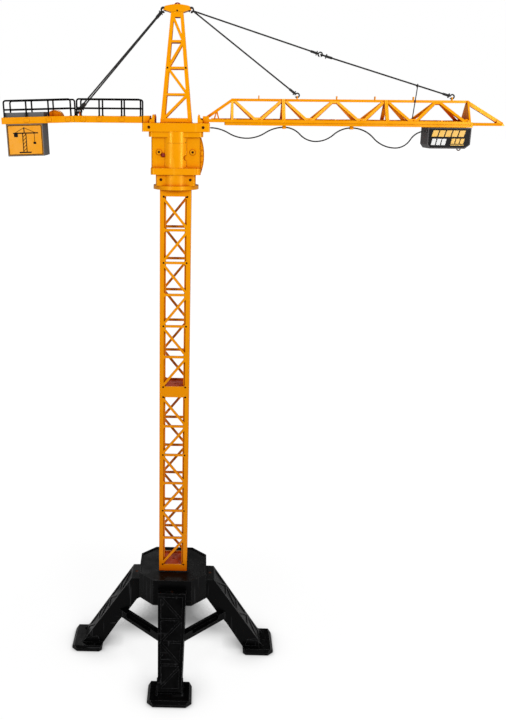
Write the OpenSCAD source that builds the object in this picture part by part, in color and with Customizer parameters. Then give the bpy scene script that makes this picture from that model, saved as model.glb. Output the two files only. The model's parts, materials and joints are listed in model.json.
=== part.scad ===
// Toy tower crane: four-legged base, two-section lattice mast, slewing unit,
// A-shaped head, counter-jib with ballast, three-section jib with a travelling
// hoist trolley.  +Z is up, +X runs along the jib, -Y is the front.  The origin
// is on the floor, on the mast axis.

/* [Base] */
// Height of the platform the mast stands on
platform_z = 186; // [180:1:192]
// Half width of the octagonal platform
platform_hw = 69; // [66:1:72]
// Corner cut of the platform
platform_cut = 30; // [26:1:32]
// Outer radius of the feet
foot_r = 212.9; // [208:0.1:218]
// Half width of a foot
foot_hw = 43.1; // [38:0.1:46]

/* [Mast] */
// Outer width of the square mast
mast_w = 57; // [55:1:58]
// Height of one lattice bay
bay_h = 60.6; // [60:0.1:61]
// Height of the joint between the two mast sections
mast_joint_z = 570; // [568:1:572]
// Height of the top of the mast
mast_top_z = 961.5; // [960:0.5:963]
// Width of the corner posts
post_w = 8; // [6:0.5:9]
// Width of the lattice bars
bar_w = 4.6; // [3:0.1:6]

/* [Slewing unit] */
// Radius of the round flange on the mast
flange_r = 41.5; // [40:0.5:43]
// Radius of the round core of the housing
core_r = 36; // [35:0.5:37]
// Radius of the slewing bearing
bearing_r = 14; // [12:0.5:15]
// Radial running clearance
run_c = 0.05; // [0.02:0.01:0.09]
// Teeth on the fixed slewing gear
ring_teeth = 36; // [36:12:36]
// Teeth on the slewing pinion
pinion_teeth = 12; // [12:1:12]

/* [Counter-jib] */
// Downward tilt of the outer deck in degrees
deck_droop = 2; // [0:0.1:3]
// Height of the handrail over the deck
rail_h = 28.5; // [24:0.5:32]
// Radius of the railing rods
rail_r = 1.5; // [1:0.05:1.6]

/* [Jib] */
// Length of one lattice panel of the jib
panel_l = 91; // [90:0.5:92]
// Half width of the jib over its bottom chords
jib_hw = 28; // [27:0.5:29]
// Height of the top chord's upper face
jib_top_z = 1121; // [1119:0.5:1123]
// Far end of the jib
jib_tip_x = 584; // [580:1:586]

/* [Trolley] */
// Rest position of the hook along the jib
hook_x = 509; // [507:1:510]
// Radius of the trolley wheels
wheel_r = 4; // [3.5:0.1:4.1]

/* [Hidden] */
$fn = 48;

orange = [1.0, 0.62, 0.04];
black = [0.06, 0.06, 0.065];
trolley_black = [0.1, 0.1, 0.105];
dark_gray = [0.2, 0.2, 0.21];
screw_brown = [0.25, 0.18, 0.1];
gear_white = [0.9, 0.9, 0.85];

// levels shared by several sections
body_z0 = 988.4;             // housing, bottom and top
body_z1 = 1063;
frame_top_z = 1078;
root_pin_x = 48;             // pins that hold jib and counter-jib, +X and -X
root_pin_z = 1070.7;
root_hole_r = 2.05;
deck_z = 1089;               // top of the counter-jib deck
deck_joint_x = -181;         // joint between the two deck sections
tie_eye_hole_r = 1.65;

// ---------------------------------------------------------------- helpers
sides = [-1, 1];

function zigzag(i) = i % 2 == 0 ? 1 : -1;
function unit(vector) = vector / norm(vector);

// puts the children's z axis on the line from start towards end
module along(start, end) {
  run = end - start;
  translate(start) rotate([0, acos(run[2] / norm(run)), atan2(run[1], run[0])]) children();
}
// rectangular bar, width in the vertical plane of the bar, thickness across it
module bar3(start, end, width, thickness) {
  along(start, end) translate([-width / 2, -thickness / 2, 0])
    cube([width, thickness, norm(end - start)]);
}
module rod3(start, end, radius) {
  along(start, end) cylinder(r = radius, h = norm(end - start));
}
// flat bar in a plane
module flat_bar(start, end, width) {
  run = end - start;
  translate(start) rotate(atan2(run[1], run[0])) translate([0, -width / 2])
    square([norm(run), width]);
}
// rod along y, centred on y = 0
module y_rod(x, z, radius, length) {
  translate([x, 0, z]) rotate([90, 0, 0]) cylinder(r = radius, h = length, center = true);
}
// rod from a point towards the front (-Y)
module front_rod(at, radius, length) {
  translate(at) rotate([90, 0, 0]) cylinder(r = radius, h = length);
}
// rod from a point towards +X
module x_rod(at, radius, length) {
  translate(at) rotate([0, 90, 0]) cylinder(r = radius, h = length);
}
module rounded_rect(width, depth, radius) {
  square([width - 2 * radius, depth], center = true);
  square([width, depth - 2 * radius], center = true);
  for (x = sides, y = sides)
    translate([x * (width / 2 - radius), y * (depth / 2 - radius)]) circle(radius);
}
// x-z profile extruded along y, centred
module xz_slab(depth) {
  rotate([90, 0, 0]) translate([0, 0, -depth / 2]) linear_extrude(depth) children();
}
module quarter_turns() {
  for (angle = [0:90:270]) rotate(angle) children();
}
module corners(x_off, y_off) {
  for (x = sides, y = sides) translate([x * x_off, y * y_off, 0]) children();
}
// the children and their mirror image in y
module both_y() {
  for (flip = [0, 1]) mirror([0, flip, 0]) children();
}
// front (-1) or rear (1) half of the children
module half(side) {
  intersection() {
    children();
    translate([-200, side < 0 ? -200 : 0, 900]) cube([400, 200, 400]);
  }
}
// cross-slotted screw: head top at z = 0, points down
module screw(head_r, head_h, length, shank_r) {
  difference() {
    union() {
      translate([0, 0, -head_h]) cylinder(r = head_r, h = head_h);
      translate([0, 0, -length]) cylinder(r = shank_r, h = length - head_h / 2);
    }
    for (angle = [0, 90]) rotate(angle)
      translate([-head_r * 0.7, -head_r * 0.14, -head_h * 0.55])
        cube([head_r * 1.4, head_r * 0.28, head_h]);
  }
}

// ---------------------------------------------------------------- base
hub_z0 = 131;
leg_screw_x = platform_hw + 8;
leg_top = [85, 168];         // ends of the leg's sloping outer face, [x, z]
leg_toe = [187, 16];
slope = atan2(leg_top[1] - leg_toe[1], leg_toe[0] - leg_top[0]);
slope_l = norm(leg_toe - leg_top);
mast_foot_screw = 20;        // offset of the mast's end screws in x and y

module octagon(half_w, cut) {
  polygon([[half_w - cut, -half_w], [half_w, -half_w + cut],
    [half_w, half_w - cut], [half_w - cut, half_w],
    [-half_w + cut, half_w], [-half_w, half_w - cut],
    [-half_w, -half_w + cut], [-half_w + cut, -half_w]]);
}
module base_hub() {
  color(black) difference() {
    union() {
      translate([0, 0, hub_z0]) linear_extrude(platform_z - hub_z0)
        octagon(platform_hw, platform_cut);
      // raised rim
      translate([0, 0, platform_z]) linear_extrude(2) difference() {
        octagon(platform_hw, platform_cut);
        octagon(platform_hw - 3.5, platform_cut - 1.5);
      }
      // socket frame round the foot of the mast
      translate([0, 0, platform_z]) linear_extrude(1.6) difference() {
        square(mast_w + 5, center = true);
        square(mast_w + 0.2, center = true);
      }
      // brackets inside the leg heads
      quarter_turns() translate([platform_hw - 1, -9, 146]) cube([14, 18, 18.9]);
    }
    // hollow underside
    translate([0, 0, hub_z0 - 1]) linear_extrude(platform_z - hub_z0 - 2.2)
      octagon(platform_hw - 3, platform_cut - 1);
    translate([0, 0, platform_z - 10]) cylinder(r = 12, h = 20);
    // leg and mast screw holes
    quarter_turns() translate([leg_screw_x, 0, 150]) cylinder(r = 1.3, h = 20);
    corners(mast_foot_screw, mast_foot_screw) translate([0, 0, platform_z - 10])
      cylinder(r = 1.6, h = 20);
  }
}

// leg shell and its hollow: side profiles [x, z] and plans [x, y]
leg_profile = [[platform_hw, leg_top[1]], leg_top, leg_toe, [187, 6], [150, 6],
  [113, 66], [94, 90], [platform_hw, 128]];
leg_plan = [[60, -29.3], [190, -22.8], [190, 22.8], [60, 29.3]];
leg_hollow_profile = [[60, 165], [83.4, 165], [181, 19.5], [181, 3.5], [150, 3.5],
  [140, 3.5], [110, 60], [90, 84], [60, 126]];
leg_hollow_plan = [[50, -26.6], [190, -19.6], [190, 19.6], [50, 26.6]];

// side profile cut to the shape of the plan
module leg_solid(profile, plan, depth) {
  intersection() {
    xz_slab(depth) polygon(profile);
    translate([0, 0, -1]) linear_extrude(180) polygon(plan);
  }
}
module leg_shell() {
  leg_solid(leg_profile, leg_plan, 80);
}

foot_h = 11;
foot_x0 = 149.3;             // inner end
foot_wide_x = 155;           // full width from here out
foot_cut = 11.4;             // outer corner cut
foot_side_h = 5;             // height of the edge under the bevel
module foot() {
  intersection() {
    linear_extrude(foot_h) polygon([
      [foot_x0, -foot_hw + 6], [foot_wide_x, -foot_hw],
      [foot_r - foot_cut, -foot_hw], [foot_r, -foot_hw + foot_cut],
      [foot_r, foot_hw - foot_cut], [foot_r - foot_cut, foot_hw],
      [foot_wide_x, foot_hw], [foot_x0, foot_hw - 6]]);
    xz_slab(100) polygon([[foot_x0, 0], [foot_r, 0], [foot_r, foot_side_h],
      [foot_r - 5.5, foot_h], [foot_x0, foot_h]]);
    translate([100, 0, 0]) rotate([90, 0, 90]) linear_extrude(150)
      polygon([[-foot_hw, 0], [foot_hw, 0], [foot_hw, foot_side_h],
        [foot_hw - 5, foot_h], [-foot_hw + 5, foot_h], [-foot_hw, foot_side_h]]);
  }
}

leg_bay_l = 42.5;            // one bay of the zigzag on the sloping face
leg_bay_start = 7;
// recesses, drawn down the slope, that leave the zigzag standing
module leg_recess() {
  end = slope_l - 6;
  difference() {
    polygon([[leg_bay_start, -22], [end, -16.8], [end, 16.8], [leg_bay_start, 22]]);
    for (i = [1:3]) translate([leg_bay_start + i * leg_bay_l - 2, -25]) square([4, 50]);
    for (i = [0:3]) let (start = leg_bay_start + i * leg_bay_l, side = zigzag(i))
      flat_bar([start, -side * 22], [start + leg_bay_l, side * 20], 4.4);
  }
}
module leg() {   // the +X leg
  difference() {
    union() {
      leg_shell();
      foot();
      // foot gussets beside the leg
      for (side = sides) translate([0, side * 24.5, 0]) xz_slab(3)
        polygon([[154, 8], [196, 8], [182, 22], [158, 26]]);
    }
    leg_solid(leg_hollow_profile, leg_hollow_plan, 70);
    translate([leg_top[0], 0, leg_top[1]]) rotate([0, slope, 0]) translate([0, 0, -1.5])
      linear_extrude(3) leg_recess();
    // screw hole and head recess
    translate([leg_screw_x, 0, 160]) cylinder(r = 1.6, h = 20);
    translate([leg_screw_x, 0, leg_top[1] - 1.4]) cylinder(r = 3, h = 5);
  }
}
module leg_right() { color(black) leg(); }
module leg_back() { color(black) rotate(90) leg(); }
module leg_left() { color(black) rotate(180) leg(); }
module leg_front() { color(black) rotate(-90) leg(); }

module leg_braces() {   // hollowed bars between neighbouring legs
  color(black) quarter_turns() difference() {
    rotate(45) translate([84.2, -60, 77]) cube([14, 120, 16]);
    for (angle = [0, 90]) rotate(angle) leg_shell();
    rotate(45) translate([88, -38, 84]) cube([20, 76, 12]);
  }
}
module base_screws() {
  color(dark_gray) {
    quarter_turns() translate([leg_screw_x, 0, leg_top[1]])
      screw(head_r = 2.8, head_h = 1.4, length = 14, shank_r = 1.2);
    // from below into the mast
    corners(mast_foot_screw, mast_foot_screw) translate([0, 0, platform_z - 4.8])
      rotate([180, 0, 0]) screw(head_r = 3, head_h = 1.6, length = 12, shank_r = 1.25);
  }
}

// ---------------------------------------------------------------- mast
mast_hw = mast_w / 2;
mast_wall = 3;
mast_bays = 6;
mast_screw_x = 21.4;
// sections: bottom z, top z, top screw row z, height of the solid bottom and top bands
lower_mast = [platform_z, mast_joint_z, 565.15, 16, 5];
upper_mast = [mast_joint_z, mast_top_z, 949.05, 17, 12];

// one lattice wall in its own plane: x across, y up; lean is the side (+1 or -1)
// that the foot of the top diagonal stands on
module lattice(width, section, lean) {
  z0 = section[0];
  height = section[1] - z0;
  half_w = width / 2;
  difference() {
    translate([-half_w, z0]) square([width, height]);
    difference() {
      translate([-half_w + post_w, z0 + section[3]])
        square([width - 2 * post_w, height - section[3] - section[4]]);
      for (i = [0:mast_bays - 1])
        let (top = section[2] - i * bay_h, bottom = section[2] - (i + 1) * bay_h,
            side = zigzag(i) * lean, node_x = half_w - post_w / 2) {
          flat_bar([-side * node_x, top], [side * node_x, bottom], bar_w);
          if (i < mast_bays - 1) translate([-half_w, bottom - bar_w / 2]) square([width, bar_w]);
          // gussets at the nodes: [level, direction]
          for (end = sides, level = [[top, -1], [bottom, 1]])
            translate([end * (half_w - post_w), level[0] + level[1] * (bar_w / 2 - 0.3)])
              polygon([[0.1 * end, 0], [-3 * end, 0], [0.1 * end, 3 * level[1]]]);
        }
    }
  }
}
module at_mast_screws(section, y) {
  for (i = [0:3], x = sides)
    translate([x * mast_screw_x, y, section[2] - i * 2 * bay_h]) children();
}
module mast_holes(section, radius, depth) {
  at_mast_screws(section, -mast_hw - 1) rotate([-90, 0, 0]) cylinder(r = radius, h = depth);
}
module mast_panel(section) {   // front wall
  difference() {
    translate([0, -mast_hw + mast_wall, 0]) rotate([90, 0, 0]) linear_extrude(mast_wall)
      lattice(mast_w, section, 1);
    mast_holes(section, 1.15, mast_wall + 2);
    mast_holes(section, 1.9, 3);
  }
}
module mast_channel(section) {   // back and side walls
  z0 = section[0];
  z1 = section[1];
  difference() {
    union() {
      translate([0, mast_hw, 0]) rotate([90, 0, 0]) linear_extrude(mast_wall)
        lattice(mast_w, section, -1);
      for (side = sides)
        translate([side * (mast_hw - mast_wall / 2) - mast_wall / 2, mast_wall / 2, 0])
          rotate([90, 0, 90]) linear_extrude(mast_wall)
            lattice(mast_w - mast_wall, section, side);
      // inner corner stiffeners that take the screws
      for (side = sides) translate([side * 21.6 - 4.4, -mast_hw + mast_wall, z0])
        cube([8.8, 7, z1 - z0]);
      // shelf plates: [bottom z, thickness]
      for (shelf = [[z0 + 11, 3], [z1 - 4, 4]])
        translate([-mast_hw + 1, -mast_hw + mast_wall, shelf[0]])
          cube([mast_w - 2, mast_w - mast_wall - 1, shelf[1]]);
    }
    mast_holes(section, 1.1, 12.5);
    // hole on the axis
    translate([0, 0, z0 - 1]) cylinder(r = 2.6, h = z1 - z0 + 2);
    // corner holes from below: [y side, depth]
    for (x = sides, hole = [[1, 20], [-1, 9]])
      translate([x * mast_foot_screw, hole[0] * mast_foot_screw, z0 - 1])
        cylinder(r = 1.3, h = hole[1]);
  }
}
module mast_lower_channel() { color(orange) mast_channel(lower_mast); }
module mast_lower_panel() { color(orange) mast_panel(lower_mast); }
module mast_upper_channel() { color(orange) mast_channel(upper_mast); }
module mast_upper_panel() { color(orange) mast_panel(upper_mast); }
module mast_screws() {
  color(screw_brown) {
    for (section = [upper_mast, lower_mast])
      at_mast_screws(section, -mast_hw + 1.1) rotate([90, 0, 0])
        screw(head_r = 1.8, head_h = 0.9, length = 9, shank_r = 1.05);
    // turntable screws
    for (x = sides) translate([x * turntable_screw_x, -30.7, turntable_screw_z])
      rotate([90, 0, 0]) screw(head_r = 2.4, head_h = 1.3, length = 24, shank_r = 1.2);
  }
}

// ---------------------------------------------------------------- turntable
turntable_flange_h = 7;
turntable_body_h = 19.6;
turntable_screw_x = 26.5;
turntable_screw_z = 979.5;
turntable_hole_r = 1.3;
bearing_bore_r = 9;

module turntable() {
  difference() {
    union() {
      translate([0, 0, mast_top_z]) cylinder(r = flange_r, h = turntable_flange_h, $fn = 96);
      translate([0, 0, mast_top_z + turntable_flange_h]) {
        linear_extrude(turntable_body_h) rounded_rect(72, 62, 5);
        cylinder(r = core_r, h = turntable_body_h, $fn = 96);
      }
      translate([0, 0, mast_top_z + 20]) cylinder(r = bearing_r, h = 16.4);
    }
    translate([0, 0, mast_top_z - 1]) cylinder(r = bearing_bore_r, h = 50);
    // hollow round the bearing
    translate([0, 0, mast_top_z + 3]) intersection() {
      linear_extrude(20) rounded_rect(66, 56, 3);
      difference() {
        cylinder(r = 38.5, h = 20);
        cylinder(r = 12, h = 30);
      }
    }
    for (x = sides) {
      y_rod(x * turntable_screw_x, turntable_screw_z, turntable_hole_r, 80);
      front_rod([x * turntable_screw_x, -29.4, turntable_screw_z], 2.6, 12);
    }
  }
}
module turntable_half(side) {
  color(orange) half(side) union() {
    turntable();
    // screw bosses
    for (x = sides) difference() {
      y_rod(x * turntable_screw_x, turntable_screw_z, 3.6, 58);
      y_rod(x * turntable_screw_x, turntable_screw_z, turntable_hole_r, 90);
    }
  }
}
module turntable_front() { turntable_half(-1); }
module turntable_rear() { turntable_half(1); }

// involute spur gears, module 1
pressure_angle = 20;
addendum = 0.7;
dedendum = 1.1;
backlash = 0.16;
flank_steps = 3;
gear_z = 998.2;
pinion_x = -(ring_teeth + pinion_teeth) / 2;
motor_shaft_r = 1;
pinion_shaft_r = 1.5;

function degrees(radians) = radians * 180 / PI;
function involute(base_r, roll) = let (arc = roll * PI / 180)
  [base_r * (cos(roll) + arc * sin(roll)), base_r * (sin(roll) - arc * cos(roll))];
function turned(point, angle) = [point[0] * cos(angle) - point[1] * sin(angle),
  point[0] * sin(angle) + point[1] * cos(angle)];
// flanks start at the base circle, which lies outside the root circle here
function gear_outline(teeth) =
  let (pitch_r = teeth / 2,
    base_r = pitch_r * cos(pressure_angle),
    tip_r = pitch_r + addendum,
    root = [pitch_r - dedendum, 0],
    tip_roll = degrees(sqrt(tip_r * tip_r / (base_r * base_r) - 1)),
    half_tooth = 90 / teeth - degrees(backlash / pitch_r / 2)
      + degrees(tan(pressure_angle)) - pressure_angle,
    flank = [for (k = [0:flank_steps]) involute(base_r, tip_roll * k / flank_steps)])
  [for (i = [0:teeth - 1]) let (middle = 360 / teeth * i)
    each concat(
      [turned(root, middle - half_tooth - 0.001)],
      [for (k = [0:flank_steps]) turned(flank[k], middle - half_tooth)],
      [for (k = [flank_steps:-1:0])
        turned([flank[k][0], -flank[k][1]], middle + half_tooth)],
      [turned(root, middle + half_tooth + 0.001)])];

module ring_gear() {
  color(gear_white) translate([0, 0, gear_z]) difference() {
    union() {
      linear_extrude(5) polygon(gear_outline(ring_teeth));
      translate([0, 0, -0.3]) cylinder(r = 13.2, h = 1);
    }
    translate([0, 0, -1]) cylinder(r = bearing_bore_r, h = 8);
  }
}
module slew_pinion() {
  color(gear_white) translate([pinion_x, 0, gear_z - 0.5]) {
    linear_extrude(6) rotate(15) polygon(gear_outline(pinion_teeth));
    translate([0, 0, 5]) cylinder(r = motor_shaft_r, h = 9);
    translate([0, 0, -8]) cylinder(r = pinion_shaft_r, h = 9);
  }
}

// ---------------------------------------------------------------- housing
housing_screw_x = 30;
housing_screw_z = 1028;
lamp_x = -22.6;
lamp_z = 1022.6;

module housing_outer() {
  body_h = body_z1 - body_z0;
  translate([0, 0, body_z0]) linear_extrude(body_h) rounded_rect(88, 62, 6);
  translate([0, 0, body_z0]) cylinder(r = core_r, h = body_h, $fn = 96);
  // lower band
  translate([0, 0, body_z0]) linear_extrude(11.5) rounded_rect(90, 74, 7);
  // flange under the top frame
  translate([0, 0, body_z1 - 9]) linear_extrude(9) rounded_rect(97, 67, 7);
}
module core_groove() {   // thin groove round the core
  translate([0, 0, 1043.4]) difference() {
    cylinder(r = 60, h = 0.5);
    translate([0, 0, -1]) cylinder(r = core_r - 0.35, h = 3, $fn = 96);
    for (side = sides) translate([side * 40 - 25, -60, -1]) cube([50, 120, 3]);
  }
}
module housing() {
  difference() {
    union() {
      difference() {
        housing_outer();
        translate([0, 0, body_z0 + 3]) linear_extrude(body_z1 - body_z0)
          rounded_rect(83, 57, 4);
        // recessed fields on the front and rear faces
        for (x = sides, y = [-33.8, 29.8]) translate([x * 30.2 - 11.2, y, 1002])
          cube([22.4, 4, 50]);
      }
      // screw bosses
      for (x = sides) {
        y_rod(x * housing_screw_x, housing_screw_z, 4.6, 65);
        y_rod(x * housing_screw_x, housing_screw_z, 4.2, 66.4);
      }
    }
    // bearing and pinion shaft holes
    translate([0, 0, body_z0 - 1]) cylinder(r = bearing_r + run_c, h = 6);
    translate([pinion_x, 0, body_z0 - 1]) cylinder(r = pinion_shaft_r + run_c, h = 6);
    for (x = sides) {
      y_rod(x * housing_screw_x, housing_screw_z, 1.4, 90);
      front_rod([x * housing_screw_x, -31, housing_screw_z], 2.3, 6);
    }
    core_groove();
    // round recess, lamp seat and small hole in the front
    front_rod([19, -29.7, 1018], 5.2, 10);
    front_rod([lamp_x, 0, lamp_z], 3.6, 60);
    front_rod([17.4, -20, 1044.5], 0.9, 20);
    // switch slot
    translate([21.5, 20, 1007.9]) cube([12.5, 20, 4.2]);
    // cable outlet under the jib
    x_rod([30, -20, 1058], 1.6, 30);
  }
}
module housing_front() { color(orange) half(-1) housing(); }
module housing_rear() { color(orange) half(1) housing(); }

// disc about the axis of the cover's curved outer face
module cover_disc(radius, depth) {
  y_rod(-33.8, 1021, radius, depth, $fn = 180);
}
module side_cover() {
  color(orange) difference() {
    intersection() {
      cover_disc(84.6, 50);
      union() {
        translate([44, -25, 1000]) cube([20, 50, 53.9]);
        translate([45, -25, 990]) cube([20, 50, 12]);
      }
    }
    intersection() {
      cover_disc(82.6, 46);
      translate([40, -24, 1002]) cube([20, 48, 50]);
    }
    // slots and an arc-shaped groove in the front and rear faces
    for (z = [1010, 1020, 1030], side = sides) translate([45.4, side * 25 - 0.8, z])
      cube([4, 1.6, 2.6]);
    for (side = sides) translate([0, side * 25, 0]) difference() {
      cover_disc(83.9, 1.6);
      cover_disc(83.1, 3);
    }
  }
}
module housing_screws() {
  color(screw_brown) for (x = sides)
    translate([x * housing_screw_x, -32.4, housing_screw_z]) rotate([90, 0, 0])
      screw(head_r = 2.2, head_h = 1.4, length = 30, shank_r = 1.3);
}

// horn on the top frame: [x, height over the frame top]
horn_profile = [[38, -1], [47, -1], [47, 5], [43.4, 7], [41.6, 14], [39.6, 15], [38, 11]];
head_screw_x = 24;           // screws up through the frame into the head
head_screw_y = 25;
module top_frame() {
  color(orange) difference() {
    union() {
      translate([0, 0, body_z1]) linear_extrude(frame_top_z - body_z1)
        rounded_rect(120, 70, 3);
      for (flip = [0, 1], side = sides) mirror([flip, 0, 0])
        translate([0, side * 29, frame_top_z]) xz_slab(7) polygon(horn_profile);
      // low sill under the head
      translate([-29, -29, frame_top_z - 1]) cube([58, 58, 2]);
    }
    translate([0, 0, body_z1 - 1]) linear_extrude(frame_top_z - body_z1 - 2)
      rounded_rect(66, 60, 3);
    for (side = sides) {
      // pockets for the jib and counter-jib roots
      translate([side * 52.4 - 14.4, -22, body_z1 + 3]) cube([28.8, 44, 30]);
      y_rod(side * root_pin_x, root_pin_z, root_hole_r, 90);
      front_rod([side * root_pin_x, -33.4, root_pin_z], 2.7, 10);
    }
    x_rod([50, -25.8, 1069], 1.6, 20);
    corners(head_screw_x, head_screw_y) translate([0, 0, frame_top_z - 5])
      cylinder(r = 1.3, h = 20);
  }
}
module jib_pins() {   // cross-slotted pins, heads at the front
  color(screw_brown) for (side = sides)
    translate([side * root_pin_x, -35, root_pin_z]) rotate([90, 0, 0]) difference() {
      union() {
        translate([0, 0, -1.6]) cylinder(r = 2.6, h = 1.6);
        translate([0, 0, -62]) cylinder(r = 2, h = 61);
      }
      for (angle = [0, 90]) rotate(angle) translate([-1.7, -0.35, -0.9]) cube([3.4, 0.7, 2]);
    }
}
module slew_motor() {
  color([0.7, 0.7, 0.72]) difference() {
    translate([pinion_x, 0, 1005.5]) {
      intersection() {
        cylinder(r = 10, h = 15.6);
        translate([-11, -7.6, 0]) cube([22, 15.2, 16]);
      }
      translate([0, 0, 15.6]) cylinder(r = 3, h = 1.6);
      // mounting straps down to the floor
      for (side = sides) translate([-3, side * 8.1 - 1, -14.1]) cube([6, 2, 22]);
    }
    translate([pinion_x, 0, 1004]) cylinder(r = motor_shaft_r + run_c, h = 12);
  }
}
module batteries() {
  color([0.2, 0.45, 0.3]) for (z = [998.6, 1013.2, 1039.8]) {
    front_rod([33, 24, z], 7.1, 48.5);
    front_rod([33, -24, z], 2.7, 2);
  }
}
module circuit_board() {
  color([0.1, 0.45, 0.2]) {
    translate([-22, 24, 991.4]) cube([40, 1.6, 45]);
    // two parts on the board
    translate([-12, 22, 1016]) cube([10, 2, 10]);
    translate([4, 21, 1010]) cube([8, 3, 6]);
  }
}
module power_switch() {
  color(black) {
    translate([22, 26.2, 1008.1]) cube([6, 7.4, 3.8]);
    translate([18.4, 25.6, 1005.6]) cube([13, 2.6, 8.8]);
  }
}
module status_lamp() {
  color([0.5, 0.05, 0.03]) translate([lamp_x, -28.4, lamp_z]) rotate([90, 0, 0]) {
    cylinder(r = 3.5, h = 3.8);
    translate([0, 0, -3]) cylinder(r = 4.35, h = 3);
    // domed lens
    intersection() {
      translate([0, 0, 1.8]) sphere(r = 4);
      translate([-4, -4, 3.7]) cube([8, 8, 4]);
    }
  }
}

// ---------------------------------------------------------------- head
head_z0 = frame_top_z + 1;
head_h = 184.5;
head_top_z = head_z0 + head_h;
head_foot_hw = 28;
head_top_hw = 10.8;
head_lean = 18;              // how far each panel leans in over its height
head_levels = [0, 47.5, 92.3, 136.6, 178.6];   // lattice nodes over the foot
head_bar_levels = [for (i = [1:3]) head_levels[i]];
head_mid_screw_x = 16;
head_mid_screw_z = head_z0 + head_levels[2];
cap_screw_z = 1265.6;
head_eye_x = 20.8;           // the ties hang in the wing tips of the cap
head_eye_y = 6;
head_eye_z = 1267.7;

function head_hw_at(z) = head_foot_hw + (head_top_hw - head_foot_hw) * z / head_h;

module head_panel() {   // drawn flat, foot on y = 0
  foot = head_foot_hw;
  top = head_top_hw;
  difference() {
    polygon([[-foot, 0], [foot, 0], [top, head_h], [-top, head_h]]);
    difference() {
      polygon([[-foot + 7.6, 7], [foot - 7.6, 7],
        [top - 5, head_h - 8], [-top + 5, head_h - 8]]);
      for (z = head_bar_levels) translate([-30, z - 2]) square([60, 4]);
      for (i = [0:3])
        let (side = zigzag(i), z0 = i == 0 ? 5 : head_levels[i], z1 = head_levels[i + 1])
          flat_bar([-side * (head_hw_at(z0) - 4), z0], [side * (head_hw_at(z1) - 4), z1], 4.4);
    }
  }
}
// screw hole with a wider mouth, running from the front towards the back
module head_screw_hole(at, depth, mouth_depth) {
  translate(at) rotate([-90, 0, 0]) {
    cylinder(r = 0.9, h = depth);
    cylinder(r = 1.7, h = mouth_depth);
  }
}
module head_half() {   // front half
  difference() {
    union() {
      translate([0, -23.2, head_z0]) rotate([90 - atan2(head_lean, head_h), 0, 0])
        linear_extrude(5) head_panel();
      // foot bars
      for (x = [-head_foot_hw, head_foot_hw - 7.6]) translate([x, -28, head_z0])
        cube([7.6, 28, 6]);
      // bars between front and rear panel
      for (z = head_bar_levels, side = sides)
        let (x = head_hw_at(z) - 3.4, y = -24.5 + head_lean * z / head_h)
          translate([side * x - 2.2, y, head_z0 + z - 2.4]) cube([4.4, -y, 4.8]);
      translate([-10.5, -9.6, head_top_z - 8]) cube([21, 9.6, 8]);
    }
    // flat foot, flat top and parting plane
    translate([-60, -60, head_z0 - 10]) cube([120, 120, 10]);
    translate([-60, -60, head_top_z]) cube([120, 120, 10]);
    translate([-60, 0, head_z0 - 5]) cube([120, 60, 250]);
    for (side = sides) {
      head_screw_hole([side * head_mid_screw_x, -30, head_mid_screw_z], 60, 12.6);
      translate([side * head_screw_x, -head_screw_y, head_z0 - 1]) cylinder(r = 1.2, h = 6);
    }
  }
}
module head_front() { color(orange) head_half(); }
module head_rear() { color(orange) mirror([0, 1, 0]) head_half(); }
module head_screws() {
  color(screw_brown) {
    for (side = sides) translate([side * head_mid_screw_x, -18.2, head_mid_screw_z])
      rotate([90, 0, 0]) screw(head_r = 1.6, head_h = 0.8, length = 16, shank_r = 0.85);
    corners(head_screw_x, head_screw_y) translate([0, 0, frame_top_z - 3.9])
      rotate([180, 0, 0]) screw(head_r = 2.2, head_h = 0.9, length = 7, shank_r = 1.15);
    translate([0, -9.6, cap_screw_z]) rotate([90, 0, 0])
      screw(head_r = 1.6, head_h = 0.8, length = 5, shank_r = 0.85);
  }
}

cap_hw = 22;
module head_cap() {
  color(orange) difference() {
    union() {
      difference() {
        xz_slab(20) intersection() {
          translate([0, 1197]) circle(79, $fn = 360);
          polygon([[-12, head_top_z], [12, head_top_z],
            [cap_hw, head_eye_z - 1], [cap_hw, head_top_z + 14],
            [-cap_hw, head_top_z + 14], [-cap_hw, head_eye_z - 1]]);
        }
        // slots for the hooks
        for (side = sides, y = [-head_eye_y, head_eye_y])
          translate([side * cap_hw - 3, y - 2.8, head_top_z - 1]) cube([6, 5.6, 16]);
      }
      // eyes for the ties
      for (side = sides, y = [-head_eye_y, head_eye_y]) difference() {
        translate([side > 0 ? 18 : -24.2, y - 3.1, head_eye_z - 1]) cube([6.2, 6.2, 2]);
        translate([side * head_eye_x, y, head_eye_z - 2]) cylinder(r = tie_eye_hole_r, h = 4);
      }
    }
    head_screw_hole([0, -11, cap_screw_z], 9, 2.3);
    // beacon seat
    translate([0, 0, 1270.4]) cylinder(r = 3.1, h = 10);
  }
}
module beacon() {
  color([0.55, 0.04, 0.03]) {
    translate([0, 0, 1270.5]) cylinder(r = 3, h = 6);
    translate([0, 0, 1276.05]) cylinder(r = 5.9, h = 0.8);
    // dome
    intersection() {
      translate([0, 0, 1273.08]) sphere(r = 6.92);
      translate([-7, -7, 1276.7]) cube([14, 14, 7]);
    }
  }
}

// ---------------------------------------------------------------- counter-jib
deck_t = 11.5;
deck_hw = 28;
railing_y = 26.4;
deck_pin_x = deck_joint_x - 5;
rear_eye_y = 17;             // eyes of the rear ties
winch_x = -218;
// railing post stations
inner_posts = [-176.2, -136.4, -96.6, -63];
outer_posts = [-305.6, -265.9, -226.2, -186.6];

module droop() {
  translate([deck_joint_x, 0, 1083]) rotate([0, -deck_droop, 0])
    translate([-deck_joint_x, 0, -1083]) children();
}
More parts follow.
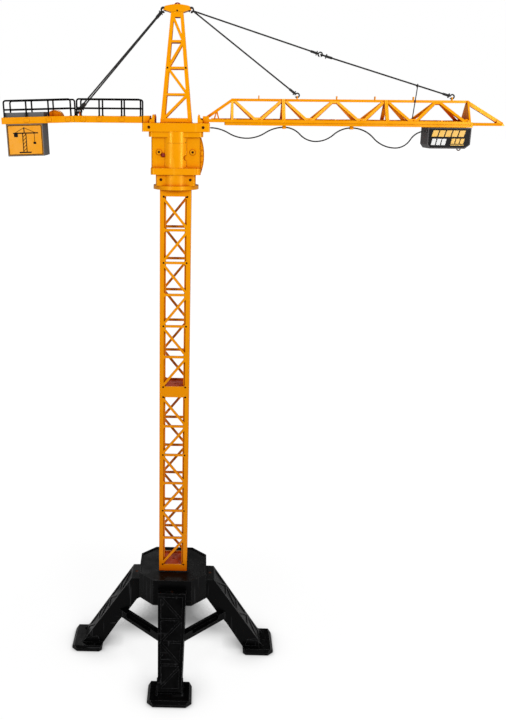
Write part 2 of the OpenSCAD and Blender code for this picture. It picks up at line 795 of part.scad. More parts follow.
// floor and side walls between two x
module deck_box(x0, x1) {
  hollow = [x1 - x0 - 8, 49];
  difference() {
    translate([x0, -deck_hw, deck_z - deck_t]) cube([x1 - x0, 2 * deck_hw, deck_t]);
    translate([x0 + 4, -24.5, deck_z - deck_t - 1]) cube([hollow[0], hollow[1], deck_t - 4]);
    translate([x0 + 4, -24.5, deck_z - 2.5]) cube([hollow[0], hollow[1], 5]);
  }
}
// small plates on the outside of the deck walls
module wall_plates(x) {
  for (side = sides) translate([x - 4.5, side * 28.1 - 0.7, deck_z - 8.8]) cube([9, 1.4, 6]);
}
module peg_holes(posts) {
  for (x = posts, side = sides) translate([x, side * railing_y, deck_z - 4.6])
    cylinder(r = 1.05, h = 8);
}
module deck_rib(x) {
  translate([x - 1, -24.6, deck_z - 3]) cube([2, 49.2, 1.2]);
}
module deck_slot(x, y, length) {
  translate([x, y - 3, deck_z - 8]) cube([length, 6, 8]);
}
module deck_pin_hole() {
  translate([deck_pin_x, 0, 1070]) cylinder(r = 1.5, h = 30);
}
// end block that drops into the +X pocket of the top frame
module root_block() {
  translate([39, -21.8, 1066.4]) cube([19.6, 43.6, 20]);
  translate([47.2, -28, frame_top_z + 0.1]) cube([11.4, 56, 12]);
}
module deck_inner() {
  color(orange) difference() {
    union() {
      deck_box(deck_joint_x, -60.1);
      for (x = [-165, -136.4, -96.6]) wall_plates(x);
      mirror([1, 0, 0]) root_block();
      translate([-62, -21.8, 1077.5]) cube([14, 43.6, 11.5]);
      for (x = [-160:20:-80]) deck_rib(x);
      // tongue under the outer deck
      translate([deck_joint_x - 9, -14, deck_z - deck_t + 0.4]) cube([12, 28, 3]);
      // eyes for the rear ties
      for (side = sides) translate([deck_joint_x + 3, side * rear_eye_y - 3.2, deck_z - 5])
        cube([2, 6.4, 11.8]);
    }
    for (side = sides)
      x_rod([deck_joint_x - 1, side * rear_eye_y, deck_z + 4], tie_eye_hole_r, 10);
    peg_holes(inner_posts);
    y_rod(-root_pin_x, root_pin_z, root_hole_r, 80);
    deck_pin_hole();
    for (x = [-170:20:-90], y = [-16, -5.4, 5.4, 16]) deck_slot(x + 2.4, y, 14);
  }
}
module deck_outer() {
  color(orange) droop() difference() {
    union() {
      deck_box(-311, deck_joint_x - 0.5);
      for (x = [-265.9, -226.2, -192]) wall_plates(x);
      for (x = [-228, -204]) deck_rib(x);
    }
    // opening the ballast hangs through
    translate([-306.2, -23.8, 1060]) cube([70.6, 47.6, 40]);
    // room for the tongue of the inner deck
    translate([deck_joint_x - 12, -15, deck_z - deck_t - 2]) cube([20, 30, 6]);
    deck_pin_hole();
    peg_holes(outer_posts);
    for (y = [-16, 16]) deck_slot(-200, y, 10);
  }
}

rail_corner_r = 4;
module rail_corner() {
  rotate_extrude(angle = 90) translate([rail_corner_r, 0]) circle(rail_r);
}
// railing in the x-z plane at y, over four post stations
module railing(posts, y) {
  x0 = posts[0];
  x1 = posts[3];
  top_z = deck_z + rail_h;
  mid_z = deck_z + 13;
  corner_z = top_z - rail_corner_r;
  for (x = [posts[1], posts[2]]) translate([x, y, deck_z]) cylinder(r = rail_r, h = rail_h);
  for (x = [x0, x1]) translate([x, y, deck_z]) cylinder(r = rail_r, h = rail_h - rail_corner_r);
  // pegs and collars
  for (x = posts) {
    translate([x, y, deck_z - 4.4]) cylinder(r = 1, h = 5);
    translate([x, y, deck_z]) cylinder(r = 2.3, h = 1);
  }
  rod3([x0 + rail_corner_r, y, top_z], [x1 - rail_corner_r, y, top_z], rail_r);
  rod3([x0, y, mid_z], [x1, y, mid_z], rail_r);
  translate([x0 + rail_corner_r, y, corner_z]) rotate([90, 0, 0]) rotate([0, 0, 90])
    rail_corner();
  translate([x1 - rail_corner_r, y, corner_z]) rotate([90, 0, 0]) rail_corner();
}
module railing_inner() {
  color(black) for (side = sides) railing(inner_posts, side * railing_y);
}
module railing_outer() {
  color(black) droop() for (side = sides) railing(outer_posts, side * railing_y);
}

ballast_z0 = 1021.3;
ballast_hw = 27;
module counterweight() {
  color(dark_gray) droop() {
    difference() {
      translate([-304, -ballast_hw, ballast_z0]) cube([65.6, 2 * ballast_hw, 56.1]);
      // soft lower edges
      for (side = sides) translate([0, side * ballast_hw, ballast_z0]) rotate([45, 0, 0])
        translate([-310, -1, -1]) cube([80, 2, 2]);
    }
    // upper part, inside the deck opening
    translate([-305.8, -23.4, 1077.3]) cube([69.8, 46.8, 19.7]);
  }
}
module counterweight_labels() {
  color([1, 0.6, 0.05]) droop() for (side = sides)
    translate([-271.2, side * (ballast_hw + 0.2), 1049.4]) rotate([90, 0, 0])
      translate([0, 0, -0.2]) linear_extrude(0.4) rounded_rect(62.6, 52.8, 2);
}
module winch_cover() {
  color(orange) droop() difference() {
    intersection() {
      y_rod(winch_x, deck_z - 2.5, 13.2, 30);
      translate([-240, -20, deck_z - 1.8]) cube([40, 40, 20]);
    }
    intersection() {
      y_rod(winch_x, deck_z - 2.5, 11.4, 26);
      translate([-240, -20, deck_z - 3]) cube([40, 40, 20]);
    }
  }
}

// ---------------------------------------------------------------- jib
chord_z0 = 1080;             // bottom chords
chord_z1 = 1085;
chord_w = 5;
chord_mid_y = jib_hw - chord_w / 2;
chord_mid_z = (chord_z0 + chord_z1) / 2;
top_chord_h = 4.6;
top_chord_z = jib_top_z - top_chord_h;
apex_z = jib_top_z - 2.4;    // where the side lattices meet
track_z0 = 1075;             // trolley rails under the chords
ledge_z = 1076.5;            // ledge the wheels run on
top_node_x = 99.5;           // first top node
joint1_x = top_node_x + panel_l;
joint2_x = top_node_x + 3 * panel_l;
bulkhead_x = top_node_x + 4.57 * panel_l;
jib_frame_t = 3;             // cross frames, bulkhead and side lattices
bulkhead_x1 = bulkhead_x + jib_frame_t;
side_angle = atan2(chord_mid_y, apex_z - chord_mid_z);
side_l = norm([chord_mid_y, apex_z - chord_mid_z]);
eye_x = [146.7, 214.8, 285.1, 352.8, 420.9, 488.9];
jib_eye_z = jib_top_z + 2.6; // centre of the eye holes

// sloping side lattices between x0 and x1: children are drawn with x along the
// jib and y up the slope from the bottom chord
module side_lattices(x0, x1) {
  intersection() {
    both_y() translate([0, -chord_mid_y, chord_mid_z]) rotate([90 - side_angle, 0, 0])
      translate([0, 0, -jib_frame_t / 2]) linear_extrude(jib_frame_t) children();
    translate([x0, -40, 1070]) cube([x1 - x0, 80, 60]);
  }
}
// bottom chords up to chord_x1, trolley rails from track_x0 to track_x1
module chords(chord_x0, chord_x1, track_x0, track_x1) {
  both_y() {
    translate([chord_x0, -jib_hw, chord_z0])
      cube([chord_x1 - chord_x0, chord_w, chord_z1 - chord_z0]);
    translate([track_x0, -jib_hw + 1, track_z0])
      cube([track_x1 - track_x0, 3.8, chord_z0 - track_z0 + 0.5]);
    translate([track_x0, -jib_hw + 1, track_z0])
      cube([track_x1 - track_x0, jib_hw - 18, ledge_z - track_z0]);
  }
}
module top_chord(x0, x1) {
  translate([x0, -2.5, top_chord_z]) cube([x1 - x0, 5, top_chord_h]);
}
// level lacing over the bottom chords
module lacing(x0, x1) {
  count = round((x1 - x0) / (panel_l / 2));
  pitch = (x1 - x0) / count;
  bar = 3.4;
  translate([0, 0, chord_z1 - 0.2]) linear_extrude(2) {
    for (i = [0:count - 1])
      let (start = x0 + pitch * i, y = zigzag(i) * (jib_hw - 4))
        flat_bar([start + 1.5, -y], [start + pitch - 1.5, y], bar);
    for (i = [0:count])
      translate([min(max(x0 + pitch * i - bar / 2, x0), x1 - bar), -jib_hw + 0.6])
        square([bar, 2 * jib_hw - 1.2]);
  }
}
// outline across the jib
module jib_outline(top_hw) {
  polygon([[-jib_hw, chord_z0], [jib_hw, chord_z0], [jib_hw, chord_z1],
    [top_hw, jib_top_z], [-top_hw, jib_top_z], [-jib_hw, chord_z1]]);
}
// plate across the jib from x towards +X, drawn with x along y and y up
module cross_plate(x) {
  translate([x, 0, 0]) rotate([90, 0, 90]) linear_extrude(jib_frame_t) children();
}
module cross_frame(x) {
  cross_plate(x) difference() {
    jib_outline(3);
    polygon([[-jib_hw + 5.5, chord_z1], [jib_hw - 5.5, chord_z1], [0, jib_top_z - 8]]);
    translate([-jib_hw + 5, chord_z0 - 1])
      square([2 * jib_hw - 10, chord_z1 - chord_z0 + 0.9]);
  }
}
module tie_eye(x) {
  difference() {
    translate([x - 1, -2.8, jib_top_z - 1]) cube([2, 5.6, 6.4]);
    x_rod([x - 3, 0, jib_eye_z], tie_eye_hole_r, 6);
  }
}
// side diagonals of panel i: down from its first top node and up to the next
module panel_down(x_top, x_foot) {
  flat_bar([x_top + 1.5, side_l], [x_foot, 0], 5);
}
module panel(i) {
  start = top_node_x + i * panel_l;
  middle = start + panel_l / 2;
  panel_down(start, middle - 3);
  flat_bar([middle + 3, 0], [start + panel_l - 1.5, side_l], 5);
  // gusset at the bottom chord
  polygon([[middle - 9, 0], [middle - 5, 6.5], [middle + 5, 6.5], [middle + 9, 0]]);
}
module top_gusset(x) {
  polygon([[x - 9, side_l], [x - 5, side_l - 6], [x + 5, side_l - 6], [x + 9, side_l]]);
}
// plate under the top chord beside a joint
module joint_plate(x) {
  translate([x, side_l - 6]) square([9, 6]);
}
// rods through the three chords at a joint
module joint_rods(x, radius, length) {
  for (side = sides)
    x_rod([x - length / 2, side * chord_mid_y, chord_mid_z], radius, length);
  x_rod([x - length / 2, 0, apex_z], radius, length);
}
module joint_holes(x) { joint_rods(x, 1.05, 12); }

module jib_root() {
  color(orange) difference() {
    union() {
      chords(58, joint1_x, 87, joint1_x);
      top_chord(top_node_x + 1, joint1_x);
      root_block();
      translate([58, -jib_hw, chord_z0]) cube([5, 2 * jib_hw, 5]);
      side_lattices(60, joint1_x) {
        panel(0);
        translate([top_node_x - 2.2, 0]) square([4.4, side_l]);
        polygon([[top_node_x - 2.2, side_l], [top_node_x - 2.2, side_l - 6],
          [top_node_x + 5, side_l - 6], [top_node_x + 9, side_l]]);
        joint_plate(joint1_x - 9);
      }
      // sloping root strut and its small ties
      xz_slab(7) polygon([[top_node_x - 1, jib_top_z], [top_node_x + 9, jib_top_z],
        [top_node_x + 9, top_chord_z], [top_node_x + 1.3, top_chord_z],
        [54, jib_top_z - 36.7], [54, jib_top_z - 30.5]]);
      for (x = [68, 76]) bar3([x, 0, chord_z1], [72, 0, 1100], 2.4, 5);
      lacing(63, joint1_x);
      cross_frame(joint1_x - jib_frame_t);
      tie_eye(eye_x[0]);
    }
    y_rod(root_pin_x, root_pin_z, root_hole_r, 80);
    joint_holes(joint1_x);
    x_rod([50, -18.4, 1069], 1.6, 20);
  }
}
module jib_middle() {
  color(orange) difference() {
    union() {
      chords(joint1_x, joint2_x, joint1_x, joint2_x);
      top_chord(joint1_x, joint2_x);
      side_lattices(joint1_x, joint2_x) {
        for (i = [1, 2]) panel(i);
        top_gusset(top_node_x + 2 * panel_l);
        joint_plate(joint1_x);
        joint_plate(joint2_x - 9);
      }
      lacing(joint1_x, joint2_x);
      cross_frame(joint1_x);
      cross_frame(joint2_x - jib_frame_t);
      for (i = [1, 2, 3]) tie_eye(eye_x[i]);
    }
    joint_holes(joint1_x);
    joint_holes(joint2_x);
  }
}
module jib_nose() {
  for (side = sides) translate([0, 0, 1078]) linear_extrude(5)
    flat_bar([bulkhead_x + 1, side * (jib_hw - 3)], [jib_tip_x - 3, side * 3], 5.5);
  bar3([bulkhead_x + 1, 0, jib_top_z - 3.4], [jib_tip_x - 2.5, 0, 1080.6], 6, 8);
  translate([jib_tip_x - 14, 0, 1078]) xz_slab(13)
    polygon([[0, 0], [14, 0], [14, 2], [2, 9], [0, 9]]);
  translate([bulkhead_x + 30, -15.5, 1078.5]) cube([3.4, 31, 3.4]);
}
module jib_tip() {
  last_node_x = top_node_x + 4 * panel_l;
  color(orange) difference() {
    union() {
      chords(joint2_x, bulkhead_x1, joint2_x, bulkhead_x + 7);
      top_chord(joint2_x, bulkhead_x1);
      side_lattices(joint2_x, bulkhead_x1) {
        panel(3);
        panel_down(last_node_x, bulkhead_x - 5);
        top_gusset(last_node_x);
        joint_plate(joint2_x);
        polygon([[bulkhead_x - 11, 0], [bulkhead_x - 6, 7], [bulkhead_x1, 7],
          [bulkhead_x1, 0]]);
      }
      lacing(joint2_x, bulkhead_x);
      cross_frame(joint2_x);
      // solid bulkhead
      cross_plate(bulkhead_x) jib_outline(3.5);
      jib_nose();
      for (i = [4, 5]) tie_eye(eye_x[i]);
      // end stops of the trolley rails
      both_y() translate([bulkhead_x + 1.5, -27, track_z0]) cube([5.5, 10.4, 9]);
    }
    joint_holes(joint2_x);
  }
}
module jib_joint_pins() {
  color([0.35, 0.35, 0.36]) {
    for (x = [joint1_x, joint2_x]) joint_rods(x, 1, 11);
    // pin of the deck joint
    droop() translate([deck_pin_x, 0, deck_z - deck_t + 1]) cylinder(r = 1.3, h = deck_t - 3);
  }
}

// ---------------------------------------------------------------- ties
tie_ring_r = 3.6;            // hook rings, to the middle of the wire
tie_wire_r = 1.25;
// ring centres on the head (front and rear) and on the jib
head_ring_front = [head_eye_x + tie_ring_r, -head_eye_y, head_eye_z];
head_ring_rear = [head_eye_x + tie_ring_r, head_eye_y, head_eye_z];
jib_ring_short = [eye_x[1], 0, jib_eye_z + tie_ring_r];
jib_ring_long = [eye_x[5], 0, jib_eye_z + tie_ring_r];
link_point = [254.1, 1, 1195.7];   // where the two parts of the long tie meet
link_offset = tie_ring_r - 1.4;    // of the ring centres from it

module ring() {
  rotate_extrude() translate([tie_ring_r, 0]) circle(tie_wire_r);
}
// ring in the x-z plane with a gap at the given angle
module hook_ring(centre, gap_angle) {
  translate(centre) difference() {
    rotate([90, 0, 0]) ring();
    rotate([0, gap_angle, 0]) translate([0, -3, -1.1]) cube([tie_ring_r + 3, 6, 2.2]);
  }
}
// disc and ferrule beside the ring centred at end; dir points along the cord
module tie_fitting(end, dir) {
  // start and end distance from the ring, radius
  for (part = [[2.2, 3.8, 4.1], [3, 14, 2.15], [0.3, 3, 1.7]])
    rod3(end + dir * (tie_ring_r + part[0]), end + dir * (tie_ring_r + part[1]), part[2]);
}
// cord between two ring centres, with a fitting at the end and maybe at the start
module tie_line(start, end, start_fitting) {
  dir = unit(end - start);
  rod3(start + dir * (tie_ring_r - 0.4), end - dir * (tie_ring_r - 0.4), 1.15);
  if (start_fitting) tie_fitting(start, dir);
  tie_fitting(end, -dir);
}
module tie_rear() {
  color(black) for (side = sides) {
    head_end = [-head_eye_x - tie_ring_r, side * head_eye_y, head_eye_z];
    deck_end = [deck_joint_x + 4, side * rear_eye_y, deck_z + 4 + tie_ring_r];
    hook_ring(head_end, 45);
    hook_ring(deck_end, 200);
    tie_line(head_end, deck_end, true);
  }
}
module tie_short() {
  color(black) {
    hook_ring(head_ring_front, 120);
    hook_ring(jib_ring_short, 165);
    tie_line(head_ring_front, jib_ring_short, false);
  }
}
module tie_long_inner() {
  end = link_point - unit(link_point - head_ring_rear) * link_offset;
  color(black) {
    hook_ring(head_ring_rear, 120);
    hook_ring(end, 90);
    tie_line(head_ring_rear, end, false);
  }
}
module tie_long_outer() {
  dir = unit(jib_ring_long - link_point);
  start = link_point + dir * link_offset;
  color(black) {
    along(start, start + dir) rotate([90, 0, 90]) ring();
    hook_ring(jib_ring_long, 165);
    tie_line(start, jib_ring_long, true);
  }
}
module drop_line() {   // hangs from the long tie down to the lacing
  run = jib_ring_long - link_point;
  top = link_point + run * (426 - link_point[0]) / run[0];
  color(black) {
    rod3([top[0], top[1] - 3.4, top[2] + 0.6], [420.4, -5.2, chord_z1 + 2], 0.9);
    translate(top) rotate([0, atan2(run[0], run[2]), 0])
      rotate_extrude() translate([2.35, 0]) circle(0.9);
  }
}

// ---------------------------------------------------------------- festoon
festoon_y = -20;
festoon_r = 1.25;            // half thickness of the cable
clip_x = [192, 311.4];
clip_z = 1072.4;
box_x0 = 445.5;              // inner end of the trolley housing
socket_z = 1068;
// cable course: housing end, low points, clips and trolley end, [x, z]
festoon_points = [[60.6, 1070.4], [126, 1053], [clip_x[0], clip_z], [249, 1048.6],
  [clip_x[1], clip_z], [391, 1038.6], [box_x0 - 3.2, socket_z]];

// two equal arcs joining two points at different heights, in the x-z plane
module s_curve(start, end) {
  run = end - start;
  rise = run[1];
  way = rise > 0 ? 1 : -1;
  arc_r = (run[0] * run[0] + rise * rise) / (4 * abs(rise));
  middle = (start + end) / 2;
  // arc: its outer end, side of its centre, x from, x to
  for (arc = [[start, way, start[0], middle[0]], [end, -way, middle[0], end[0]]])
    intersection() {
      translate([arc[0][0], arc[0][1] + arc[1] * arc_r]) difference() {
        circle(arc_r + festoon_r, $fn = 360);
        circle(arc_r - festoon_r, $fn = 360);
      }
      translate([arc[2] - 0.02, min(arc[0][1], middle[1]) - 4.5])
        square([arc[3] - arc[2] + 0.04, abs(rise) / 2 + 9]);
    }
}
module festoon_cable() {
  color(black) translate([0, festoon_y, 0]) xz_slab(2 * festoon_r)
    for (i = [0:5]) s_curve(festoon_points[i], festoon_points[i + 1]);
}
module festoon_clip(x) {
  color(orange) translate([x - 3, 0, 0]) difference() {
    union() {
      translate([0, festoon_y - 2.9, clip_z - 2.6]) cube([6, 6.7, 4.9]);
      translate([0, -16.9, clip_z - 2.1]) cube([6, 1.4, 7.4]);
      translate([0, -20.4, ledge_z + 0.1]) cube([6, 4.9, 1]);
    }
    x_rod([-1, festoon_y, clip_z], festoon_r + 0.7, 8);
    translate([-1, festoon_y - 0.9, clip_z - 4]) cube([8, 1.8, 4]);
  }
}
module festoon_clip_1() { festoon_clip(clip_x[0]); }
module festoon_clip_2() { festoon_clip(clip_x[1]); }

// ---------------------------------------------------------------- trolley
box_x1 = 521.5;
box_z0 = 1038.5;
box_z1 = 1074.4;
drum_x = hook_x - 6.5;
drum_z = 1062;
drum_shaft_r = 1.5;
axle_r = 1.2;
wheel_x = [459, 507];
wheel_z = ledge_z + wheel_r + 0.04;
hook_z = 1053.5;             // top of the hook block at rest

// side outline of the housing, moved in by inset
module box_outline(inset) {
  x0 = box_x0 + inset;
  x1 = box_x1 - inset;
  slant = inset * 0.6;
  slant_z = box_z0 + 7 + inset * 0.4;
  polygon([[x0, slant_z], [box_x0 + 5 + slant, box_z0 + inset],
    [box_x1 - 9 - slant, box_z0 + inset], [x1, slant_z],
    [x1, box_z1 - inset], [x0, box_z1 - inset]]);
}
module trolley_housing() {
  color(trolley_black) difference() {
    union() {
      difference() {
        xz_slab(48) box_outline(0);
        xz_slab(44) box_outline(2);
      }
      // frame round the front and back faces
      for (side = sides) translate([0, side * 24.3, 0]) difference() {
        xz_slab(0.8) box_outline(0);
        xz_slab(2) box_outline(1.8);
      }
      // bearing bosses for the drum
      for (side = sides) translate([0, side * 19, 0]) y_rod(drum_x, drum_z, 3.5, 8);
      // cable socket
      x_rod([box_x0 - 3, festoon_y, socket_z], 2.4, 4);
    }
    y_rod(drum_x, drum_z, drum_shaft_r + run_c, 44);
    translate([hook_x - 8, -8, box_z0 - 1]) cube([16, 16, 9]);
    x_rod([box_x0 - 4, festoon_y, socket_z], 1.0, 10);
    // seam
    translate([box_x0 - 1, -0.25, box_z0 - 1]) difference() {
      cube([80, 0.5, 40]);
      translate([1.5, -1, 1.5]) cube([75, 3, 35]);
    }
  }
}
module trolley_carriage() {
  color(trolley_black) difference() {
    union() {
      translate([452, -14, box_z1]) cube([62, 28, 2.2]);
      for (side = sides) {
        for (x = wheel_x) translate([x - 5, side * 12 - 2, box_z1]) cube([10, 4, 9.6]);
        translate([454, side * 12 - 2, box_z1]) cube([58, 4, 4.5]);
      }
    }
    for (x = wheel_x) y_rod(x, wheel_z, axle_r + run_c, 60);
  }
}
module trolley_label() {
  color([0.12, 0.11, 0.1]) for (side = sides) translate([0, side * 24.2, 0])
    xz_slab(0.36) box_outline(2.2);
}
module wheel_axle(x) {   // axle and two wheels with a ring-shaped recess
  color([0.15, 0.15, 0.15]) translate([x, 0, wheel_z]) rotate([90, 0, 0]) {
    cylinder(r = axle_r, h = 43, center = true);
    for (side = sides) translate([0, 0, side * 19.4 - 2]) difference() {
      cylinder(r = wheel_r, h = 4);
      translate([0, 0, side > 0 ? 3.2 : -1]) difference() {
        cylinder(r = wheel_r - 0.9, h = 1.8);
        translate([0, 0, -1]) cylinder(r = 1.9, h = 5);
      }
    }
  }
}
module wheel_axle_inner() { wheel_axle(wheel_x[0]); }
module wheel_axle_outer() { wheel_axle(wheel_x[1]); }
module winch_drum() {
  color([0.85, 0.85, 0.82]) translate([drum_x, 0, drum_z]) rotate([90, 0, 0]) {
    cylinder(r = 5.9, h = 14, center = true);
    for (side = sides) translate([0, 0, side * 8 - 1]) cylinder(r = 8.2, h = 2);
    cylinder(r = drum_shaft_r, h = 43, center = true);
  }
}
module hoist_line() {
  color(black) translate([hook_x, 0, hook_z + 0.02]) cylinder(r = 0.5, h = 8.4);
}
module hook_block() {
  color([0.12, 0.12, 0.12]) translate([hook_x, 0, hook_z]) difference() {
    union() {
      translate([0, 0, -7.6]) cylinder(r = 5.6, h = 6.4);
      translate([0, 0, -1.4]) cylinder(r = 2.2, h = 1.4);
    }
    // room for the head and shank of the hook
    translate([0, 0, -5]) cylinder(r = 2.3, h = 2.6);
    translate([0, 0, -8]) cylinder(r = 1.1, h = 4);
  }
}
module hook() {
  wire_r = 0.95;
  color([0.5, 0.5, 0.52]) translate([hook_x, 0, hook_z]) {
    translate([0, 0, -4.8]) cylinder(r = 2, h = 1.6);
    translate([0, 0, -12.6]) cylinder(r = wire_r, h = 8.4);
    translate([0, 0, -15.6]) difference() {
      rotate([90, 0, 0]) rotate_extrude() translate([3, 0]) circle(wire_r);
      translate([0.9, -2, 0]) cube([4, 4, 5]);
    }
  }
}

base_hub();
leg_front();
leg_back();
leg_left();
leg_right();
leg_braces();
base_screws();
mast_lower_channel();
mast_lower_panel();
mast_upper_channel();
mast_upper_panel();
mast_screws();
turntable_front();
turntable_rear();
ring_gear();
housing_front();
housing_rear();
side_cover();
housing_screws();
top_frame();
jib_pins();
slew_motor();
slew_pinion();
batteries();
circuit_board();
power_switch();
status_lamp();
head_front();
head_rear();
head_screws();
head_cap();
beacon();
deck_inner();
deck_outer();
railing_inner();
railing_outer();
counterweight();
counterweight_labels();
winch_cover();
jib_root();
jib_middle();
jib_tip();
jib_joint_pins();
tie_rear();
tie_short();
tie_long_inner();
tie_long_outer();
drop_line();
festoon_cable();
festoon_clip_1();
festoon_clip_2();
trolley_housing();
trolley_carriage();
trolley_label();
wheel_axle_inner();
wheel_axle_outer();
winch_drum();
hoist_line();
hook_block();
hook();
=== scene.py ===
# A model tower crane on a white studio floor, in metres with +Z up. The mast stands at the
# origin, the jib runs towards +x and the ballast hangs on the -x side. The front faces -y.
# The CAD pieces get procedural materials; the cords and the label print are built here.
import json
import math

import bpy
from mathutils import Matrix, Vector


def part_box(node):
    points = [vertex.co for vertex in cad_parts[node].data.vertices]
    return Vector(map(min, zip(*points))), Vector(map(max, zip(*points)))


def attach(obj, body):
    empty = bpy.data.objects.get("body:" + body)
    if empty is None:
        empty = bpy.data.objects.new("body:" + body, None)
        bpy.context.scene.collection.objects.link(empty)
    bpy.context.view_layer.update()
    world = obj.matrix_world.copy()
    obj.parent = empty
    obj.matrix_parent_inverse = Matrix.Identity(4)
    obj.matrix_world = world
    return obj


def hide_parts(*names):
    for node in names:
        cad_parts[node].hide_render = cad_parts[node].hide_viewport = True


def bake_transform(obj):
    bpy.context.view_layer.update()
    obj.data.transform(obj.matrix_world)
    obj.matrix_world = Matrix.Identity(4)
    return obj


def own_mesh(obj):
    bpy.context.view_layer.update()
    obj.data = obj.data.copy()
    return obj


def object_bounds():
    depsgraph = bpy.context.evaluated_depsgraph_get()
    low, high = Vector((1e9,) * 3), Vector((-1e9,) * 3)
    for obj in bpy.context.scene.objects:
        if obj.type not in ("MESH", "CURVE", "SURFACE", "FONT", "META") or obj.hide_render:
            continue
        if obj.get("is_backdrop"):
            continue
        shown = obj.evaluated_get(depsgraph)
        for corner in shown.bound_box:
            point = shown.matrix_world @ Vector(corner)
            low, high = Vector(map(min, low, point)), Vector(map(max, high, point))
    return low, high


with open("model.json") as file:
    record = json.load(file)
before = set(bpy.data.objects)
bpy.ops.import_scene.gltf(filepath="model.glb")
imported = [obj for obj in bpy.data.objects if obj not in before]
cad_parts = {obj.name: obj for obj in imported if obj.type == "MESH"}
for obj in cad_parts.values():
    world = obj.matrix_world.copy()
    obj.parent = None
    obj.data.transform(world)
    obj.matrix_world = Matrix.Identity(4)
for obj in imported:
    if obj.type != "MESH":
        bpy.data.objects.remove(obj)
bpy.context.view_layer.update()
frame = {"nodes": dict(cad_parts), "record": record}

MM = 0.001


# ------------------------------------------------------------ material graph
class MaterialGraph:
    """A material with a Principled shader, built up node by node."""

    def __init__(self, name):
        self.material = bpy.data.materials.new(name)
        self.material.use_nodes = True
        self.tree = self.material.node_tree
        self.tree.nodes.clear()
        self.output = self.node("ShaderNodeOutputMaterial")
        self.shader = self.node("ShaderNodeBsdfPrincipled")
        self.put(self.output.inputs[0], self.shader.outputs[0])
        self.coords = self.node("ShaderNodeTexCoord").outputs["Object"]

    def node(self, kind, **settings):
        node = self.tree.nodes.new(kind)
        for key, value in settings.items():
            setattr(node, key, value)
        return node

    def put(self, socket, value):
        """Links an output to the socket, or sets its value; RGB gains an alpha of 1."""
        if hasattr(value, "links"):
            self.tree.links.new(value, socket)
        elif isinstance(value, tuple) and len(value) == 3 and len(socket.default_value) == 4:
            socket.default_value = (*value, 1)
        else:
            socket.default_value = value

    def noise(self, scale, detail, rough, stretch=None, distort=0.0):
        node = self.node("ShaderNodeTexNoise")
        coords = self.coords
        if stretch:
            mapping = self.node("ShaderNodeMapping")
            mapping.inputs["Scale"].default_value = stretch
            self.put(mapping.inputs["Vector"], coords)
            coords = mapping.outputs[0]
        self.put(node.inputs["Vector"], coords)
        node.inputs["Scale"].default_value = scale
        node.inputs["Detail"].default_value = detail
        node.inputs["Roughness"].default_value = rough
        node.inputs["Distortion"].default_value = distort
        return node.outputs[0]

    def ramp(self, value, span, to=(0.0, 1.0), smooth=True):
        """Maps the span of input values to the `to` range, clamped."""
        kind = "SMOOTHSTEP" if smooth else "LINEAR"
        node = self.node("ShaderNodeMapRange", interpolation_type=kind)
        for i, item in enumerate((value, *span, *to)):
            self.put(node.inputs[i], item)
        return node.outputs[0]

    def math(self, operation, first, second=0.0):
        node = self.node("ShaderNodeMath", operation=operation)
        for i, item in enumerate((first, second, 0.0)):
            self.put(node.inputs[i], item)
        return node.outputs[0]

    def mix(self, factor, first, second, blend="MIX"):
        node = self.node("ShaderNodeMix", data_type="RGBA", blend_type=blend)
        self.put(node.inputs[0], factor)
        self.put(node.inputs[6], first)
        self.put(node.inputs[7], second)
        return node.outputs[2]

    def tint(self, factor, colour, tint):
        """Multiplies the colour by a tint where the factor is high."""
        return self.mix(factor, colour, self.mix(1.0, colour, tint, "MULTIPLY"))

    def split(self, vector):
        """The x, y and z outputs of a vector."""
        node = self.node("ShaderNodeSeparateXYZ")
        self.put(node.inputs[0], vector)
        return node.outputs

    def face_normal(self):
        return self.node("ShaderNodeNewGeometry").outputs["Normal"]

    def ao(self, distance, samples=8):
        node = self.node("ShaderNodeAmbientOcclusion")
        node.samples = samples
        node.inputs["Distance"].default_value = distance
        return node.outputs["AO"]

    def edge(self, radius):
        """Rounded normal, and a mask that is 1 on edges."""
        bevel = self.node("ShaderNodeBevel")
        bevel.samples = 4
        bevel.inputs["Radius"].default_value = radius
        normal = self.face_normal()
        dot = self.node("ShaderNodeVectorMath", operation="DOT_PRODUCT")
        self.put(dot.inputs[0], bevel.outputs[0])
        self.put(dot.inputs[1], normal)
        return bevel.outputs[0], self.ramp(dot.outputs["Value"], (0.985, 0.86))

    def bump(self, height, distance, normal=None):
        node = self.node("ShaderNodeBump")
        node.inputs["Strength"].default_value = 1.0
        node.inputs["Distance"].default_value = distance
        self.put(node.inputs["Height"], height)
        if normal is not None:
            self.put(node.inputs["Normal"], normal)
        return node.outputs[0]

    def set(self, **inputs):
        """Sets shader inputs, named with underscores for spaces; returns the material."""
        for key, value in inputs.items():
            self.put(self.shader.inputs[key.replace("_", " ")], value)
        return self.material


# ------------------------------------------------------------ material kinds
MAST_INSIDE = (0.0262, 0.0272)  # half width over which the inside of the mast fades out
MAST_TOP = (0.900, 0.915)  # height over which it fades out


